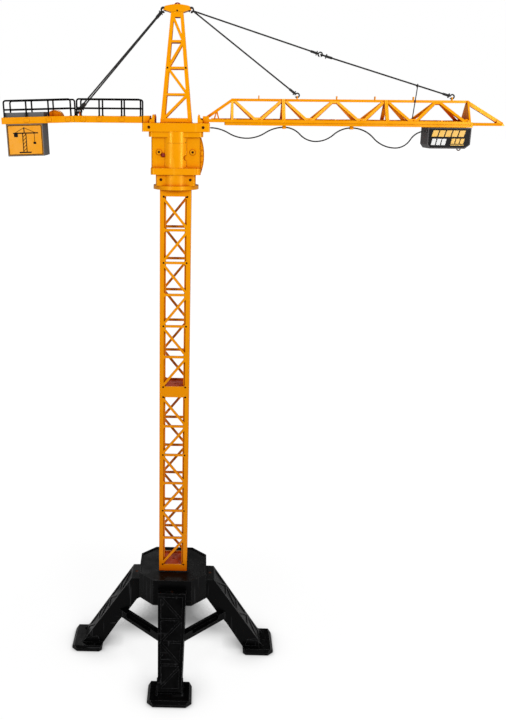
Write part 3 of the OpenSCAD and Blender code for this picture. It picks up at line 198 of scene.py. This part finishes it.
def shade_pockets(graph, colour, specular, shade, near, middle, far):
    """Paints shade into hollows at three reaches; the widest also dulls the highlights."""
    hollow = graph.ramp(graph.ao(0.012), (0.15, 0.92), to=(shade, 0.0), smooth=False)
    colour = graph.tint(hollow, colour, near)
    hollow = graph.ramp(graph.ao(0.028), (0.35, 0.95), to=(0.75, 0.0), smooth=False)
    colour = graph.tint(hollow, colour, middle)
    hollow = graph.ramp(graph.ao(0.06), (0.25, 0.76), to=(0.92, 0.0), smooth=False)
    # painted shade inside the lattice mast, most of all on the shelves
    place = graph.split(graph.coords)
    normal = graph.split(graph.face_normal())
    reach = graph.math("MAXIMUM", graph.math("ABSOLUTE", place[0]),
                       graph.math("ABSOLUTE", place[1]))
    inside = graph.math("MULTIPLY", graph.ramp(reach, MAST_INSIDE, to=(1.0, 0.0)),
                        graph.ramp(place[2], MAST_TOP, to=(1.0, 0.0)))
    shelves = graph.ramp(normal[2], (0.3, 0.9), to=(0.24, 0.90))
    inside = graph.math("MULTIPLY", inside, shelves)
    hollow = graph.math("MAXIMUM", hollow, inside)
    colour = graph.tint(hollow, colour, far)
    return colour, graph.math("MULTIPLY", graph.math("SUBTRACT", 1.0, hollow), specular)


def plastic(name, base, dark, light, rough=0.32, grain=1500, grain_height=0.00002,
            edge_radius=0.0005, edge_wear_and_highlight=0.35, shade=0.6, flow=0.35, specular=0.5,
            specular_tint=None, coat=0.0, dust=0.0, subsurface=0.0, low_shade_tint=None,
            pocket_shade_tints=None):
    """Moulded plastic: slight colour flow, fine grain, soft smudges and rare scratches."""
    graph = MaterialGraph(name)
    streaks = graph.noise(scale=9, detail=3, rough=0.5, distort=0.6)
    colour = graph.mix(graph.ramp(streaks, (0.35, 0.7), to=(0.0, flow)), base, dark)
    if low_shade_tint:
        # painted shade: the colour darkens towards the bottom, where less light falls
        height = graph.split(graph.coords)[2]
        colour = graph.tint(graph.ramp(height, (1.0, 0.2), smooth=False), colour, low_shade_tint)
    normal, edges = graph.edge(edge_radius)
    fine = graph.noise(scale=grain, detail=2, rough=0.5)
    smudges = graph.noise(scale=38, detail=5, rough=0.6)
    upright = graph.noise(scale=160, detail=2, rough=0.4, stretch=(1, 1, 0.06), distort=0.3)
    upright = graph.ramp(upright, (0.68, 0.72))
    level = graph.noise(scale=210, detail=2, rough=0.4, stretch=(0.05, 1, 1), distort=0.2)
    level = graph.ramp(level, (0.69, 0.73))
    scratches = graph.math("MAXIMUM", upright, level)
    patches = graph.ramp(graph.noise(scale=70, detail=4, rough=0.6), (0.35, 0.6), to=(0.35, 1.0))
    # edges lightened in patches: partly rubbing, partly a painted highlight
    wear_and_highlight = graph.math("MULTIPLY", edges, patches)
    colour = graph.mix(graph.math("MULTIPLY", wear_and_highlight, edge_wear_and_highlight), colour, light)
    colour = graph.mix(graph.math("MULTIPLY", scratches, 0.12), colour, light)
    if pocket_shade_tints:
        colour, specular = shade_pockets(graph, colour, specular, shade, **pocket_shade_tints)
    else:
        # painted shade in crevices
        crevice_shade = graph.ramp(graph.ao(0.012), (0.25, 0.95), to=(1.0 - shade, 1.0), smooth=False)
        colour = graph.mix(1.0, colour, crevice_shade, "MULTIPLY")
    if dust:
        # dust lies in patches on faces that look up
        facing_up = graph.ramp(graph.split(graph.face_normal())[2], (0.55, 1.0))
        patches = graph.ramp(graph.noise(scale=120, detail=6, rough=0.7), (0.42, 0.72))
        amount = graph.math("MULTIPLY", graph.math("MULTIPLY", facing_up, patches), dust)
        colour = graph.mix(amount, colour, (0.35, 0.33, 0.31))
    roughness = graph.ramp(smudges, (0.3, 0.72), to=(rough - 0.07, rough + 0.1))
    roughness = graph.math("ADD", roughness, graph.math("MULTIPLY", scratches, 0.15))
    # relief: grain, sunken scratches, and a soft waviness
    relief = graph.math("ADD", graph.math("MULTIPLY", fine, 1.0),
                        graph.math("MULTIPLY", scratches, -0.6))
    waves = graph.noise(scale=60, detail=2, rough=0.4)
    relief = graph.math("ADD", relief, graph.math("MULTIPLY", waves, 1.6))
    graph.set(Base_Color=colour, Roughness=roughness, Specular_IOR_Level=specular,
              Coat_Weight=coat, Coat_Roughness=0.12,
              Normal=graph.bump(relief, grain_height, normal), Coat_Normal=normal)
    if specular_tint:
        graph.set(Specular_Tint=specular_tint)
    if subsurface:
        graph.set(Subsurface_Weight=subsurface, Subsurface_Radius=(0.004, 0.0016, 0.0004),
                  Subsurface_Scale=1.0)
    return graph.material


def metal(name, base, rough, spots=0.0):
    """Brushed metal, with optional brown spots."""
    graph = MaterialGraph(name)
    normal, edges = graph.edge(0.0002)
    lines = graph.noise(scale=900, detail=3, rough=0.6, stretch=(1, 1, 0.05))
    colour = graph.mix(graph.ramp(lines, (0.3, 0.7)), tuple(c * 0.75 for c in base), base)
    # painted highlight on the edges
    bright = tuple(min(1, c * 1.8) for c in base)
    colour = graph.mix(graph.math("MULTIPLY", edges, 0.5), colour, bright)
    # painted shade in crevices
    crevice_shade = graph.ramp(graph.ao(0.004), (0.2, 0.9), to=(0.35, 1.0), smooth=False)
    colour = graph.mix(1.0, colour, crevice_shade, "MULTIPLY")
    if spots:
        specks = graph.noise(scale=700, detail=5, rough=0.7)
        specks = graph.ramp(specks, (0.58, 0.7), to=(0.0, spots))
        colour = graph.mix(specks, colour, (0.12, 0.06, 0.03))
    roughness = graph.ramp(lines, (0.25, 0.75), to=(rough - 0.08, rough + 0.12))
    return graph.set(Base_Color=colour, Metallic=1.0, Roughness=roughness,
                     Normal=graph.bump(lines, 0.00002, normal))


def cord_material(name, base, light):
    """Woven cord: diagonal bands with fine fibres."""
    graph = MaterialGraph(name)
    wave = graph.node("ShaderNodeTexWave", wave_type="BANDS", bands_direction="DIAGONAL")
    wave.inputs["Scale"].default_value = 900
    wave.inputs["Distortion"].default_value = 1.5
    wave.inputs["Detail"].default_value = 2
    graph.put(wave.inputs["Vector"], graph.coords)
    bands = wave.outputs[1]
    fibres = graph.noise(scale=2600, detail=3, rough=0.6)
    colour = graph.mix(graph.ramp(bands, (0.3, 0.9), to=(0.0, 0.7)), base, light)
    colour = graph.mix(graph.ramp(fibres, (0.45, 0.8), to=(0.0, 0.5)), colour, light)
    relief = graph.math("ADD", bands, graph.math("MULTIPLY", fibres, 0.6))
    roughness = graph.ramp(fibres, (0.2, 0.8), to=(0.55, 0.85))
    return graph.set(Base_Color=colour, Roughness=roughness, Specular_IOR_Level=0.3,
                     Sheen_Weight=0.25, Sheen_Roughness=0.4,
                     Normal=graph.bump(relief, 0.00015))


def film(name, base, light, specular=0.35, coat=0.15):
    """Glossy label film."""
    graph = MaterialGraph(name)
    clouds = graph.noise(scale=30, detail=4, rough=0.6)
    colour = graph.mix(graph.ramp(clouds, (0.3, 0.7), to=(0.0, 0.5)), base, light)
    normal, edges = graph.edge(0.00025)
    # painted highlight on the edges
    colour = graph.mix(graph.math("MULTIPLY", edges, 0.5), colour, light)
    smudges = graph.noise(scale=90, detail=4, rough=0.6)
    relief = graph.noise(scale=260, detail=3, rough=0.5)
    return graph.set(Base_Color=colour, Roughness=graph.ramp(smudges, (0.3, 0.7), to=(0.2, 0.36)),
                     Specular_IOR_Level=specular, Coat_Weight=coat, Coat_Roughness=0.1,
                     Normal=graph.bump(relief, 0.00004, normal))


# ------------------------------------------------------------ materials
PLASTICS = {
    "yellow_plastic": dict(
        base=(1.0, 0.368, 0.0), dark=(0.92, 0.295, 0.0), light=(1.0, 0.54, 0.03), rough=0.24,
        edge_wear_and_highlight=0.5, shade=0.78, specular=0.75, specular_tint=(1.0, 0.64, 0.12), flow=0.5,
        # painted shade, darker towards the bottom
        low_shade_tint=(0.74, 0.60, 1.0),
        # painted shade in pockets: a darker, redder tint of the same plastic
        pocket_shade_tints=dict(near=(0.50, 0.22, 0.0), middle=(0.84, 0.62, 0.5),
                          far=(0.60, 0.11, 0.0))),
    "black_plastic": dict(
        base=(0.0012, 0.0012, 0.0013), dark=(0.0020, 0.0020, 0.0022), light=(0.12, 0.12, 0.125),
        rough=0.30, grain=1900, grain_height=0.00005, edge_radius=0.0009, edge_wear_and_highlight=0.6,
        specular=0.06, dust=0.003),
    "grey_plastic": dict(
        base=(0.142, 0.145, 0.150), dark=(0.12, 0.122, 0.127), light=(0.3, 0.3, 0.31),
        rough=0.46, grain=1600, grain_height=0.00006, edge_radius=0.0009, edge_wear_and_highlight=0.6,
        shade=0.5, specular=0.30, dust=0.02),
    "trolley_plastic": dict(
        base=(0.066, 0.058, 0.060), dark=(0.054, 0.048, 0.050), light=(0.2, 0.19, 0.195),
        rough=0.28, edge_radius=0.0008, edge_wear_and_highlight=0.8, shade=0.5, specular=0.22),
    "wheel_rubber": dict(
        base=(0.02, 0.02, 0.021), dark=(0.03, 0.03, 0.03), light=(0.09, 0.09, 0.09),
        rough=0.6, specular=0.3),
    "white_nylon": dict(
        base=(0.74, 0.73, 0.68), dark=(0.66, 0.64, 0.57), light=(0.9, 0.9, 0.87),
        rough=0.4, subsurface=0.2),
    "board": dict(
        base=(0.01, 0.16, 0.045), dark=(0.006, 0.11, 0.03), light=(0.2, 0.5, 0.25),
        rough=0.35, grain=600),
    "cell_wrap": dict(
        base=(0.02, 0.10, 0.05), dark=(0.012, 0.06, 0.03), light=(0.3, 0.5, 0.3),
        rough=0.25, coat=0.4),
    "red_lens": dict(
        base=(0.27, 0.010, 0.004), dark=(0.16, 0.005, 0.002), light=(0.6, 0.08, 0.05),
        rough=0.22, edge_wear_and_highlight=0.3, coat=0.25, specular=0.4, subsurface=0.3),
}
materials = {name: plastic(name, **look) for name, look in PLASTICS.items()}
materials["steel_screws"] = metal("steel_screws", (0.125, 0.034, 0.014), rough=0.42, spots=0.4)
materials["motor_can"] = metal("motor_can", (0.55, 0.55, 0.57), rough=0.3)
CORD = cord_material("cord", base=(0.006, 0.006, 0.006), light=(0.045, 0.045, 0.045))
ORANGE_FILM = film("label_orange", base=(0.95, 0.36, 0.002), light=(1.0, 0.44, 0.03))
BLACK_FILM = film("label_black", base=(0.006, 0.0055, 0.006), light=(0.014, 0.013, 0.014),
                  specular=0.07, coat=0.0)
GOLD_FILM = film("label_gold", base=(0.90, 0.50, 0.06), light=(0.98, 0.62, 0.14))
WHITE_FILM = film("label_white", base=(0.80, 0.80, 0.79), light=(0.9, 0.9, 0.9))
materials["cord"] = CORD
materials["label_film"] = BLACK_FILM


def paint_cad():
    slot_of = {part["node"]: part["material_slot"] for part in frame["record"]["subparts"]}
    for node, obj in frame["nodes"].items():
        material = materials[slot_of[node]]
        if node == "counterweight_labels":
            material = ORANGE_FILM
        if not obj.material_slots:
            obj.data.materials.append(material)
        for slot in obj.material_slots:
            slot.link = "OBJECT"
            slot.material = material


# ------------------------------------------------------------ mesh helpers
def join(parts):
    """Joins (verts, faces) pairs into one."""
    verts, faces = [], []
    for part_verts, part_faces in parts:
        start = len(verts)
        verts += part_verts
        faces += [tuple(start + i for i in face) for face in part_faces]
    return verts, faces


def make(name, shape, material, body, smooth=True):
    verts, faces = shape
    mesh = bpy.data.meshes.new(name)
    mesh.from_pydata([tuple(vert) for vert in verts], [], faces)
    mesh.validate()
    mesh.update()
    if smooth:
        mesh.polygons.foreach_set("use_smooth", [True] * len(mesh.polygons))
    obj = bpy.data.objects.new(name, mesh)
    bpy.context.scene.collection.objects.link(obj)
    obj.data.materials.append(material)
    if body:
        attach(obj, body)
    return obj


def sweep(points, radius, sides):
    """Capped tube whose cross-section frame is carried along the path."""
    last = len(points) - 1
    verts, faces = [], []
    across = (points[1] - points[0]).normalized().orthogonal().normalized()
    for i, point in enumerate(points):
        along = (points[min(i + 1, last)] - points[max(i - 1, 0)]).normalized()
        across = (across - along * across.dot(along)).normalized()
        other = along.cross(across)
        for k in range(sides):
            angle = 2 * math.pi * k / sides
            verts.append(point + (across * math.cos(angle) + other * math.sin(angle)) * radius)
    for i in range(last):
        for k in range(sides):
            here, beside = i * sides + k, i * sides + (k + 1) % sides
            faces.append((here, beside, beside + sides, here + sides))
    faces.append(tuple(reversed(range(sides))))
    faces.append(tuple(last * sides + k for k in range(sides)))
    return verts, faces


def cord_tube(name, points, radius, body, sides):
    return make(name, sweep(points, radius, sides), CORD, body)


def rounded_rect(x, z, width, height, radius):
    steps = 5
    outline = []
    for side_x, side_z, start in ((1, 1, 0), (-1, 1, 90), (-1, -1, 180), (1, -1, 270)):
        for i in range(steps + 1):
            angle = math.radians(start + 90 * i / steps)
            outline.append((x + side_x * (width / 2 - radius) + radius * math.cos(angle),
                            z + side_z * (height / 2 - radius) + radius * math.sin(angle)))
    return outline


def bar(start, end, width):
    start, end = Vector(start), Vector(end)
    along = end - start
    half = Vector((-along.y, along.x)).normalized() * (width / 2)
    return [tuple(point) for point in (start + half, start - half, end - half, end + half)]


def extrude(outline, y_start, y_end):
    """Extrudes a closed x-z outline in millimetres between two y planes in metres."""
    count = len(outline)
    verts = [Vector((x * MM, y, z * MM)) for y in (y_start, y_end) for x, z in outline]
    faces = [tuple(range(count)), tuple(count + i for i in reversed(range(count)))]
    for i in range(count):
        j = (i + 1) % count
        faces.append((i, count + i, count + j, j))
    return verts, faces


def print_on(name, outlines, y, rise, material, body, placement):
    """Thin raised print on a face at y; rise is how far it stands out, signed."""
    verts, faces = join(extrude(outline, y, y + rise) for outline in outlines)
    verts = [placement @ vert for vert in verts]
    make(name, (verts, faces), material, body, smooth=False)


# ------------------------------------------------------------ hanging supply cable
def s_bend(start, end):
    """Two equal arcs from start to end, level at both ends; points are (x, z)."""
    steps = 22
    run, rise = end[0] - start[0], end[1] - start[1]
    sign = 1 if rise > 0 else -1
    radius = (run * run + rise * rise) / (4 * abs(rise))
    sweep_angle = math.asin(run / (2 * radius))
    offsets = []
    for i in range(steps + 1):
        angle = sweep_angle * i / steps
        offsets.append((radius * math.sin(angle), sign * radius * (1 - math.cos(angle))))
    first = [(start[0] + x, start[1] + z) for x, z in offsets[:-1]]
    second = [(end[0] - x, end[1] - z) for x, z in reversed(offsets)]
    return first + second


def supply_cable():
    low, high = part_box("festoon_cable")
    clip_low, clip_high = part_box("festoon_clip_1")
    clip2_low, clip2_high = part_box("festoon_clip_2")
    y = (low.y + high.y) / 2
    radius = (high.y - low.y) / 2
    start_z = 1.0704
    clip_z = clip_low.z + 2.6 * MM
    # (x, z) of the level points: ends, clips and the low points between them
    marks = [
        (low.x, start_z), (0.126, 1.053),
        ((clip_low.x + clip_high.x) / 2, clip_z), (0.249, 1.0486),
        ((clip2_low.x + clip2_high.x) / 2, clip_z), (0.391, low.z + radius),
        (high.x, 1.068),
    ]
    path = marks[:1]
    for start, end in zip(marks[:-1], marks[1:]):
        path += s_bend(start, end)[1:]
    points = [Vector((x, y, z)) for x, z in path]
    cable = cord_tube("supply_cable", points, radius * 0.96, "upper", sides=14)
    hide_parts("festoon_cable")
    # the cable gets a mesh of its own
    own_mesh(cable)


# ------------------------------------------------------------ hoist line
def hoist_cord(drum_z):
    """Straight line from drum height down into the hook block."""
    low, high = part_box("hook_block")
    x = (low.x + high.x) / 2
    top = Vector((x, 0, drum_z))
    bottom = Vector((x, 0, high.z - 0.0006))
    points = [top.lerp(bottom, i / 12) for i in range(13)]
    line = cord_tube("hoist_cord", points, 0.0005, None, sides=10)
    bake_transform(line)
    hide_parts("hoist_line")


def wound_line(centre):
    """Line wound on the drum, as one helix along y."""
    turns, steps_per_turn = 12, 20
    radius, half_width = 0.00625, 0.0062
    steps = turns * steps_per_turn
    points = []
    for i in range(steps + 1):
        angle = 2 * math.pi * i / steps_per_turn
        points.append(centre + Vector((radius * math.cos(angle),
                                       -half_width + 2 * half_width * i / steps,
                                       radius * math.sin(angle))))
    cord_tube("wound_line", points, 0.00048, "drum", sides=7)


def hoist():
    low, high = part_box("winch_drum")
    centre = Vector(((low.x + high.x) / 2, 0, (low.z + high.z) / 2))
    hoist_cord(centre.z)
    wound_line(centre)


# ------------------------------------------------------------ cord strands on the ties
RING_RADIUS = 4.85 * MM  # outer radius of the ring at a tie's end
NEAR_CUT, FAR_CUT = 4.6 * MM, 17.4 * MM  # how far short of a ring centre the cord stops
LINK = Vector((0.2541, 0.001, 1.1957))  # where the outer long tie starts
LINK_CUT = 2.2 * MM + FAR_CUT


def rope(name, start, end):
    """Twisted cord: strands wound round a straight line."""
    radius, pitch, strands, strand_share = 1.24 * MM, 0.0052, 3, 0.62
    along = end - start
    length = along.length
    along.normalize()
    across = along.orthogonal().normalized()
    other = along.cross(across)
    steps = max(8, int(length / pitch * 12))
    parts = []
    for strand in range(strands):
        points = []
        for i in range(steps + 1):
            x = length * i / steps
            angle = 2 * math.pi * (x / pitch + strand / strands)
            offset = across * math.cos(angle) + other * math.sin(angle)
            points.append(start + along * x + offset * (radius * (1 - strand_share * 0.5)))
        parts.append(sweep(points, radius * strand_share * 0.82, 7))
    make(name, join(parts), CORD, "upper")


def tie_cord(name, start, end, start_cut, end_cut=FAR_CUT):
    along = (end - start).normalized()
    rope(name, start + along * start_cut, end - along * end_cut)


def ring_centre(node, side, y):
    """Ring centre at a corner of a tie's box, such as "top left" seen from the front."""
    low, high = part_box(node)
    x = high.x - RING_RADIUS if "right" in side else low.x + RING_RADIUS
    z = high.z - RING_RADIUS if "top" in side else low.z + RING_RADIUS
    return Vector((x, y, z))


def tie_cords():
    tie_cord("tie_short_cord", ring_centre("tie_short", "top left", -0.006),
             ring_centre("tie_short", "bottom right", 0.0), NEAR_CUT)
    tie_cord("tie_long_inner_cord", ring_centre("tie_long_inner", "top left", 0.006),
             ring_centre("tie_long_inner", "bottom right", 0.001), NEAR_CUT)
    tie_cord("tie_long_outer_cord", LINK,
             ring_centre("tie_long_outer", "bottom right", 0.0), LINK_CUT)
    for side, tag in ((-1, "front"), (1, "back")):
        tie_cord("tie_rear_cord_" + tag, ring_centre("tie_rear", "top right", side * 0.006),
                 ring_centre("tie_rear", "bottom left", side * 0.017), FAR_CUT)


# ------------------------------------------------------------ print on the ballast label
def crane_drawing():
    """Outlines of a small crane, in millimetres from the label's centre."""
    left, right = -4, 2  # uprights
    outlines = [
        rounded_rect(-1, -22.6, 22, 2.4, 0.6),  # foot
        rounded_rect(-16, 8.6, 7, 6, 0.8),  # block under the left end
        bar((left, -22), (left, 12), 1.6),
        bar((right, -22), (right, 12), 1.6),
        bar((-21, 12.6), (24, 12.6), 2.2),  # long level bar
        bar((-1, 12), (-1, 23), 1.8),  # post above it
        bar((-1, 22.4), (19, 13), 0.9),  # sloping lines from the post
        bar((-1, 22.4), (-18, 13), 0.9),
        bar((17, 12), (17, -4), 0.9),  # hanging line and its block
        rounded_rect(17, -5.6, 5, 4, 0.6),
    ]
    diagonal_rise = 6.4
    for k in range(5):
        z = -21 + diagonal_rise * k
        outlines.append(bar((left, z), (right, z + diagonal_rise), 1.0))
    return [[(x, z * 0.95) for x, z in outline] for outline in outlines]


def border():
    """A rounded frame in millimetres, as one quad per outline step."""
    width, height, line = 61.8, 52.0, 1.4
    outer = rounded_rect(0, 0, width, height, 2.0)
    inner = rounded_rect(0, 0, width - 2 * line, height - 2 * line, 1.2)
    quads = []
    for k in range(len(inner)):
        j = (k + 1) % len(inner)
        quads.append([outer[k], inner[k], inner[j], outer[j]])
    return quads


def mirrored(outlines):
    return [[(-x, z) for x, z in reversed(outline)] for outline in outlines]


def ballast_print():
    low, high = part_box("counterweight_labels")
    centre = (low + high) / 2
    tilt = math.radians(2.0)  # the left end hangs lower
    placement = (Matrix.Translation(Vector((centre.x, 0, centre.z)))
                 @ Matrix.Rotation(-tilt, 4, "Y"))
    for tag, y, rise in (("front", low.y, -0.00010), ("back", high.y, 0.00010)):
        for part, outlines in (("crane", crane_drawing()), ("border", border())):
            if tag == "back":
                outlines = mirrored(outlines)
            print_on("label_%s_%s" % (tag, part), outlines, y, rise, BLACK_FILM, "upper",
                     placement)


# ------------------------------------------------------------ print on the trolley box
def slanted(x, z, width, height, lean):
    """A block whose top is shifted by lean; x, z is the lower left corner."""
    return [(x + lean, z + height), (x, z), (x + width, z), (x + width + lean, z + height)]


def trolley_print():
    low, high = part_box("trolley_label")
    placement = Matrix.Translation(Vector(((low.x + high.x) / 2, 0, (low.z + high.z) / 2)))
    # millimetres from the label's centre: an upper gold row, then a lower row in white and gold
    gold = [slanted(-31 + 11.7 * k, 2.6, 9.6, 10.8, lean=3.0) for k in range(5)]
    gold += [slanted(3.6 + 7.9 * k, -9.4, 6.2, 8.8, lean=1.8) for k in range(3)]
    gold.append(slanted(3.2, -12.2, 23.6, 1.3, lean=0.3))
    white = [slanted(-31 + 8.9 * k, -11.8, 7.0, 10.8, lean=2.0) for k in range(3)]
    for tag, y, rise in (("front", low.y, -0.00012), ("back", high.y, 0.00012)):
        print_on("trolley_%s_gold" % tag, gold, y, rise, GOLD_FILM, "trolley", placement)
        print_on("trolley_%s_white" % tag, white, y, rise, WHITE_FILM, "trolley", placement)


# ------------------------------------------------------------ floor
def floor_material():
    """White floor: mostly emission, darkened round the crane by painted shadow, with a little lit
    surface.
    """
    graph = MaterialGraph("studio_floor")
    clouds = graph.noise(scale=3, detail=3, rough=0.5)
    fine = graph.noise(scale=420, detail=3, rough=0.5)
    colour = graph.mix(graph.ramp(clouds, (0.3, 0.7)), (0.93, 0.93, 0.93), (0.95, 0.95, 0.95))
    graph.set(Base_Color=colour, Roughness=graph.ramp(fine, (0.3, 0.7), to=(0.55, 0.7)),
              Specular_IOR_Level=0.2, Normal=graph.bump(fine, 0.00004))
    is_camera = graph.node("ShaderNodeLightPath").outputs["Is Camera Ray"]
    # painted shadow: occlusion darkens the emission near the crane
    wide = graph.ramp(graph.ao(0.24, samples=16), (0.62, 0.88), to=(0.20, 1.0))
    near = graph.ramp(graph.ao(0.075, samples=16), (0.42, 0.985), to=(0.34, 1.0), smooth=False)
    emission = graph.node("ShaderNodeEmission")
    emission.inputs[0].default_value = (1, 1, 1, 1)
    # the lights stand in front, so the painted shadow is kept behind the hub
    behind = graph.ramp(graph.split(graph.coords)[1], (-0.01, 0.085))
    shade = graph.math("MULTIPLY", graph.math("SUBTRACT", 1.0, wide), behind)
    wide = graph.math("SUBTRACT", 1.0, shade)
    distance = graph.node("ShaderNodeVectorMath", operation="LENGTH")
    graph.put(distance.inputs[0], graph.coords)
    far = graph.ramp(distance.outputs["Value"], (0.30, 0.9))
    strength = graph.ramp(is_camera, (0.0, 1.0), to=(0.30, 1.05), smooth=False)
    graph.put(emission.inputs[1],
              graph.math("MULTIPLY", graph.math("MULTIPLY", wide, near), strength))
    # the lit surface fades out with distance, and shows only faintly to the camera
    lit = graph.math("SUBTRACT", 1.0, far)
    share = graph.ramp(is_camera, (0.0, 1.0), to=(1.0, 0.14), smooth=False)
    blend = graph.node("ShaderNodeMixShader")
    graph.put(blend.inputs[0], graph.math("MULTIPLY", lit, share))
    graph.put(blend.inputs[1], emission.outputs[0])
    graph.put(blend.inputs[2], graph.shader.outputs[0])
    graph.put(graph.output.inputs[0], blend.outputs[0])
    return graph.material


def studio_floor():
    material = floor_material()
    half = 40
    mesh = bpy.data.meshes.new("studio_floor")
    corners = [(-half, -half, 0), (half, -half, 0), (half, half, 0), (-half, half, 0)]
    mesh.from_pydata(corners, [], [(0, 1, 2, 3)])
    floor = bpy.data.objects.new("studio_floor", mesh)
    bpy.context.scene.collection.objects.link(floor)
    floor.location.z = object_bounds()[0].z - 0.0002
    mesh.materials.append(material)
    floor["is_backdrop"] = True


# ------------------------------------------------------------ world, lights, camera
def studio_world():
    """White world with its own strength for camera, glossy and all other rays."""
    world = bpy.data.worlds.new("studio")
    bpy.context.scene.world = world
    world.use_nodes = True
    nodes, links = world.node_tree.nodes, world.node_tree.links
    nodes.clear()

    def background(strength):
        node = nodes.new("ShaderNodeBackground")
        node.inputs[0].default_value = (1, 1, 1, 1)
        node.inputs[1].default_value = strength
        return node

    output = nodes.new("ShaderNodeOutputWorld")
    other, camera, glossy = background(0.255), background(1.0), background(0.05)
    rays = nodes.new("ShaderNodeLightPath").outputs
    camera_mix = nodes.new("ShaderNodeMixShader")
    glossy_mix = nodes.new("ShaderNodeMixShader")
    for mix, ray, first, second in ((glossy_mix, "Is Glossy Ray", other, glossy),
                                    (camera_mix, "Is Camera Ray", glossy_mix, camera)):
        links.new(rays[ray], mix.inputs[0])
        links.new(first.outputs[0], mix.inputs[1])
        links.new(second.outputs[0], mix.inputs[2])
    links.new(camera_mix.outputs[0], output.inputs[0])


def area_light(name, place, target, size, watts, tall=None):
    """A disk, or a rectangle if it is given a height `tall`."""
    light = bpy.data.lights.new(name, "AREA")
    light.shape = "RECTANGLE" if tall else "DISK"
    light.size = size
    if tall:
        light.size_y = tall
    light.energy = watts
    obj = bpy.data.objects.new(name, light)
    bpy.context.scene.collection.objects.link(obj)
    obj.location = place
    obj.rotation_mode = "QUATERNION"
    obj.rotation_quaternion = (Vector(target) - Vector(place)).to_track_quat("-Z", "Y")


def studio_lights():
    area_light("key", (1.52, -2.42, 1.55), target=(0.05, 0, 0.85), size=0.34, watts=42.5, tall=1.5)
    area_light("fill", (-1.40, -2.42, 1.45), target=(0.05, 0, 0.85), size=0.34, watts=23, tall=1.5)
    area_light("top", (0.2, -0.3, 3.4), target=(0.1, 0, 0.6), size=1.5, watts=26)
    area_light("back", (-0.6, 2.6, 2.2), target=(0.1, 0, 0.8), size=1.6, watts=10)


def studio_camera():
    """Camera in front of the crane, looking along +y and down."""
    place = (0.04935, -1.58128, 1.09589)
    yaw, pitch, roll = -0.0238, 0.2822, 0.0092  # radians
    lens = bpy.data.cameras.new("camera")
    lens.lens = 42.25
    lens.sensor_width = 36
    lens.shift_x = 0.10018056
    lens.shift_y = -0.0032916667
    lens.clip_start, lens.clip_end = 0.05, 100
    camera = bpy.data.objects.new("camera", lens)
    bpy.context.scene.collection.objects.link(camera)
    level = Vector((math.sin(yaw), math.cos(yaw), 0))
    side = Vector((math.cos(yaw), -math.sin(yaw), 0))
    rise = Vector((0, 0, 1)) * math.cos(pitch) + level * math.sin(pitch)
    forward = level * math.cos(pitch) - Vector((0, 0, 1)) * math.sin(pitch)
    right = side * math.cos(roll) + rise * math.sin(roll)
    up = -side * math.sin(roll) + rise * math.cos(roll)
    rows = [(right[i], up[i], -forward[i], place[i]) for i in range(3)]
    camera.matrix_world = Matrix((*rows, (0, 0, 0, 1)))
    bpy.context.scene.camera = camera


paint_cad()
supply_cable()
hoist()
tie_cords()
ballast_print()
trolley_print()
studio_floor()
studio_world()
studio_lights()
studio_camera()
bpy.context.scene.view_settings.view_transform = "Standard"
bpy.context.scene.view_settings.look = "None"
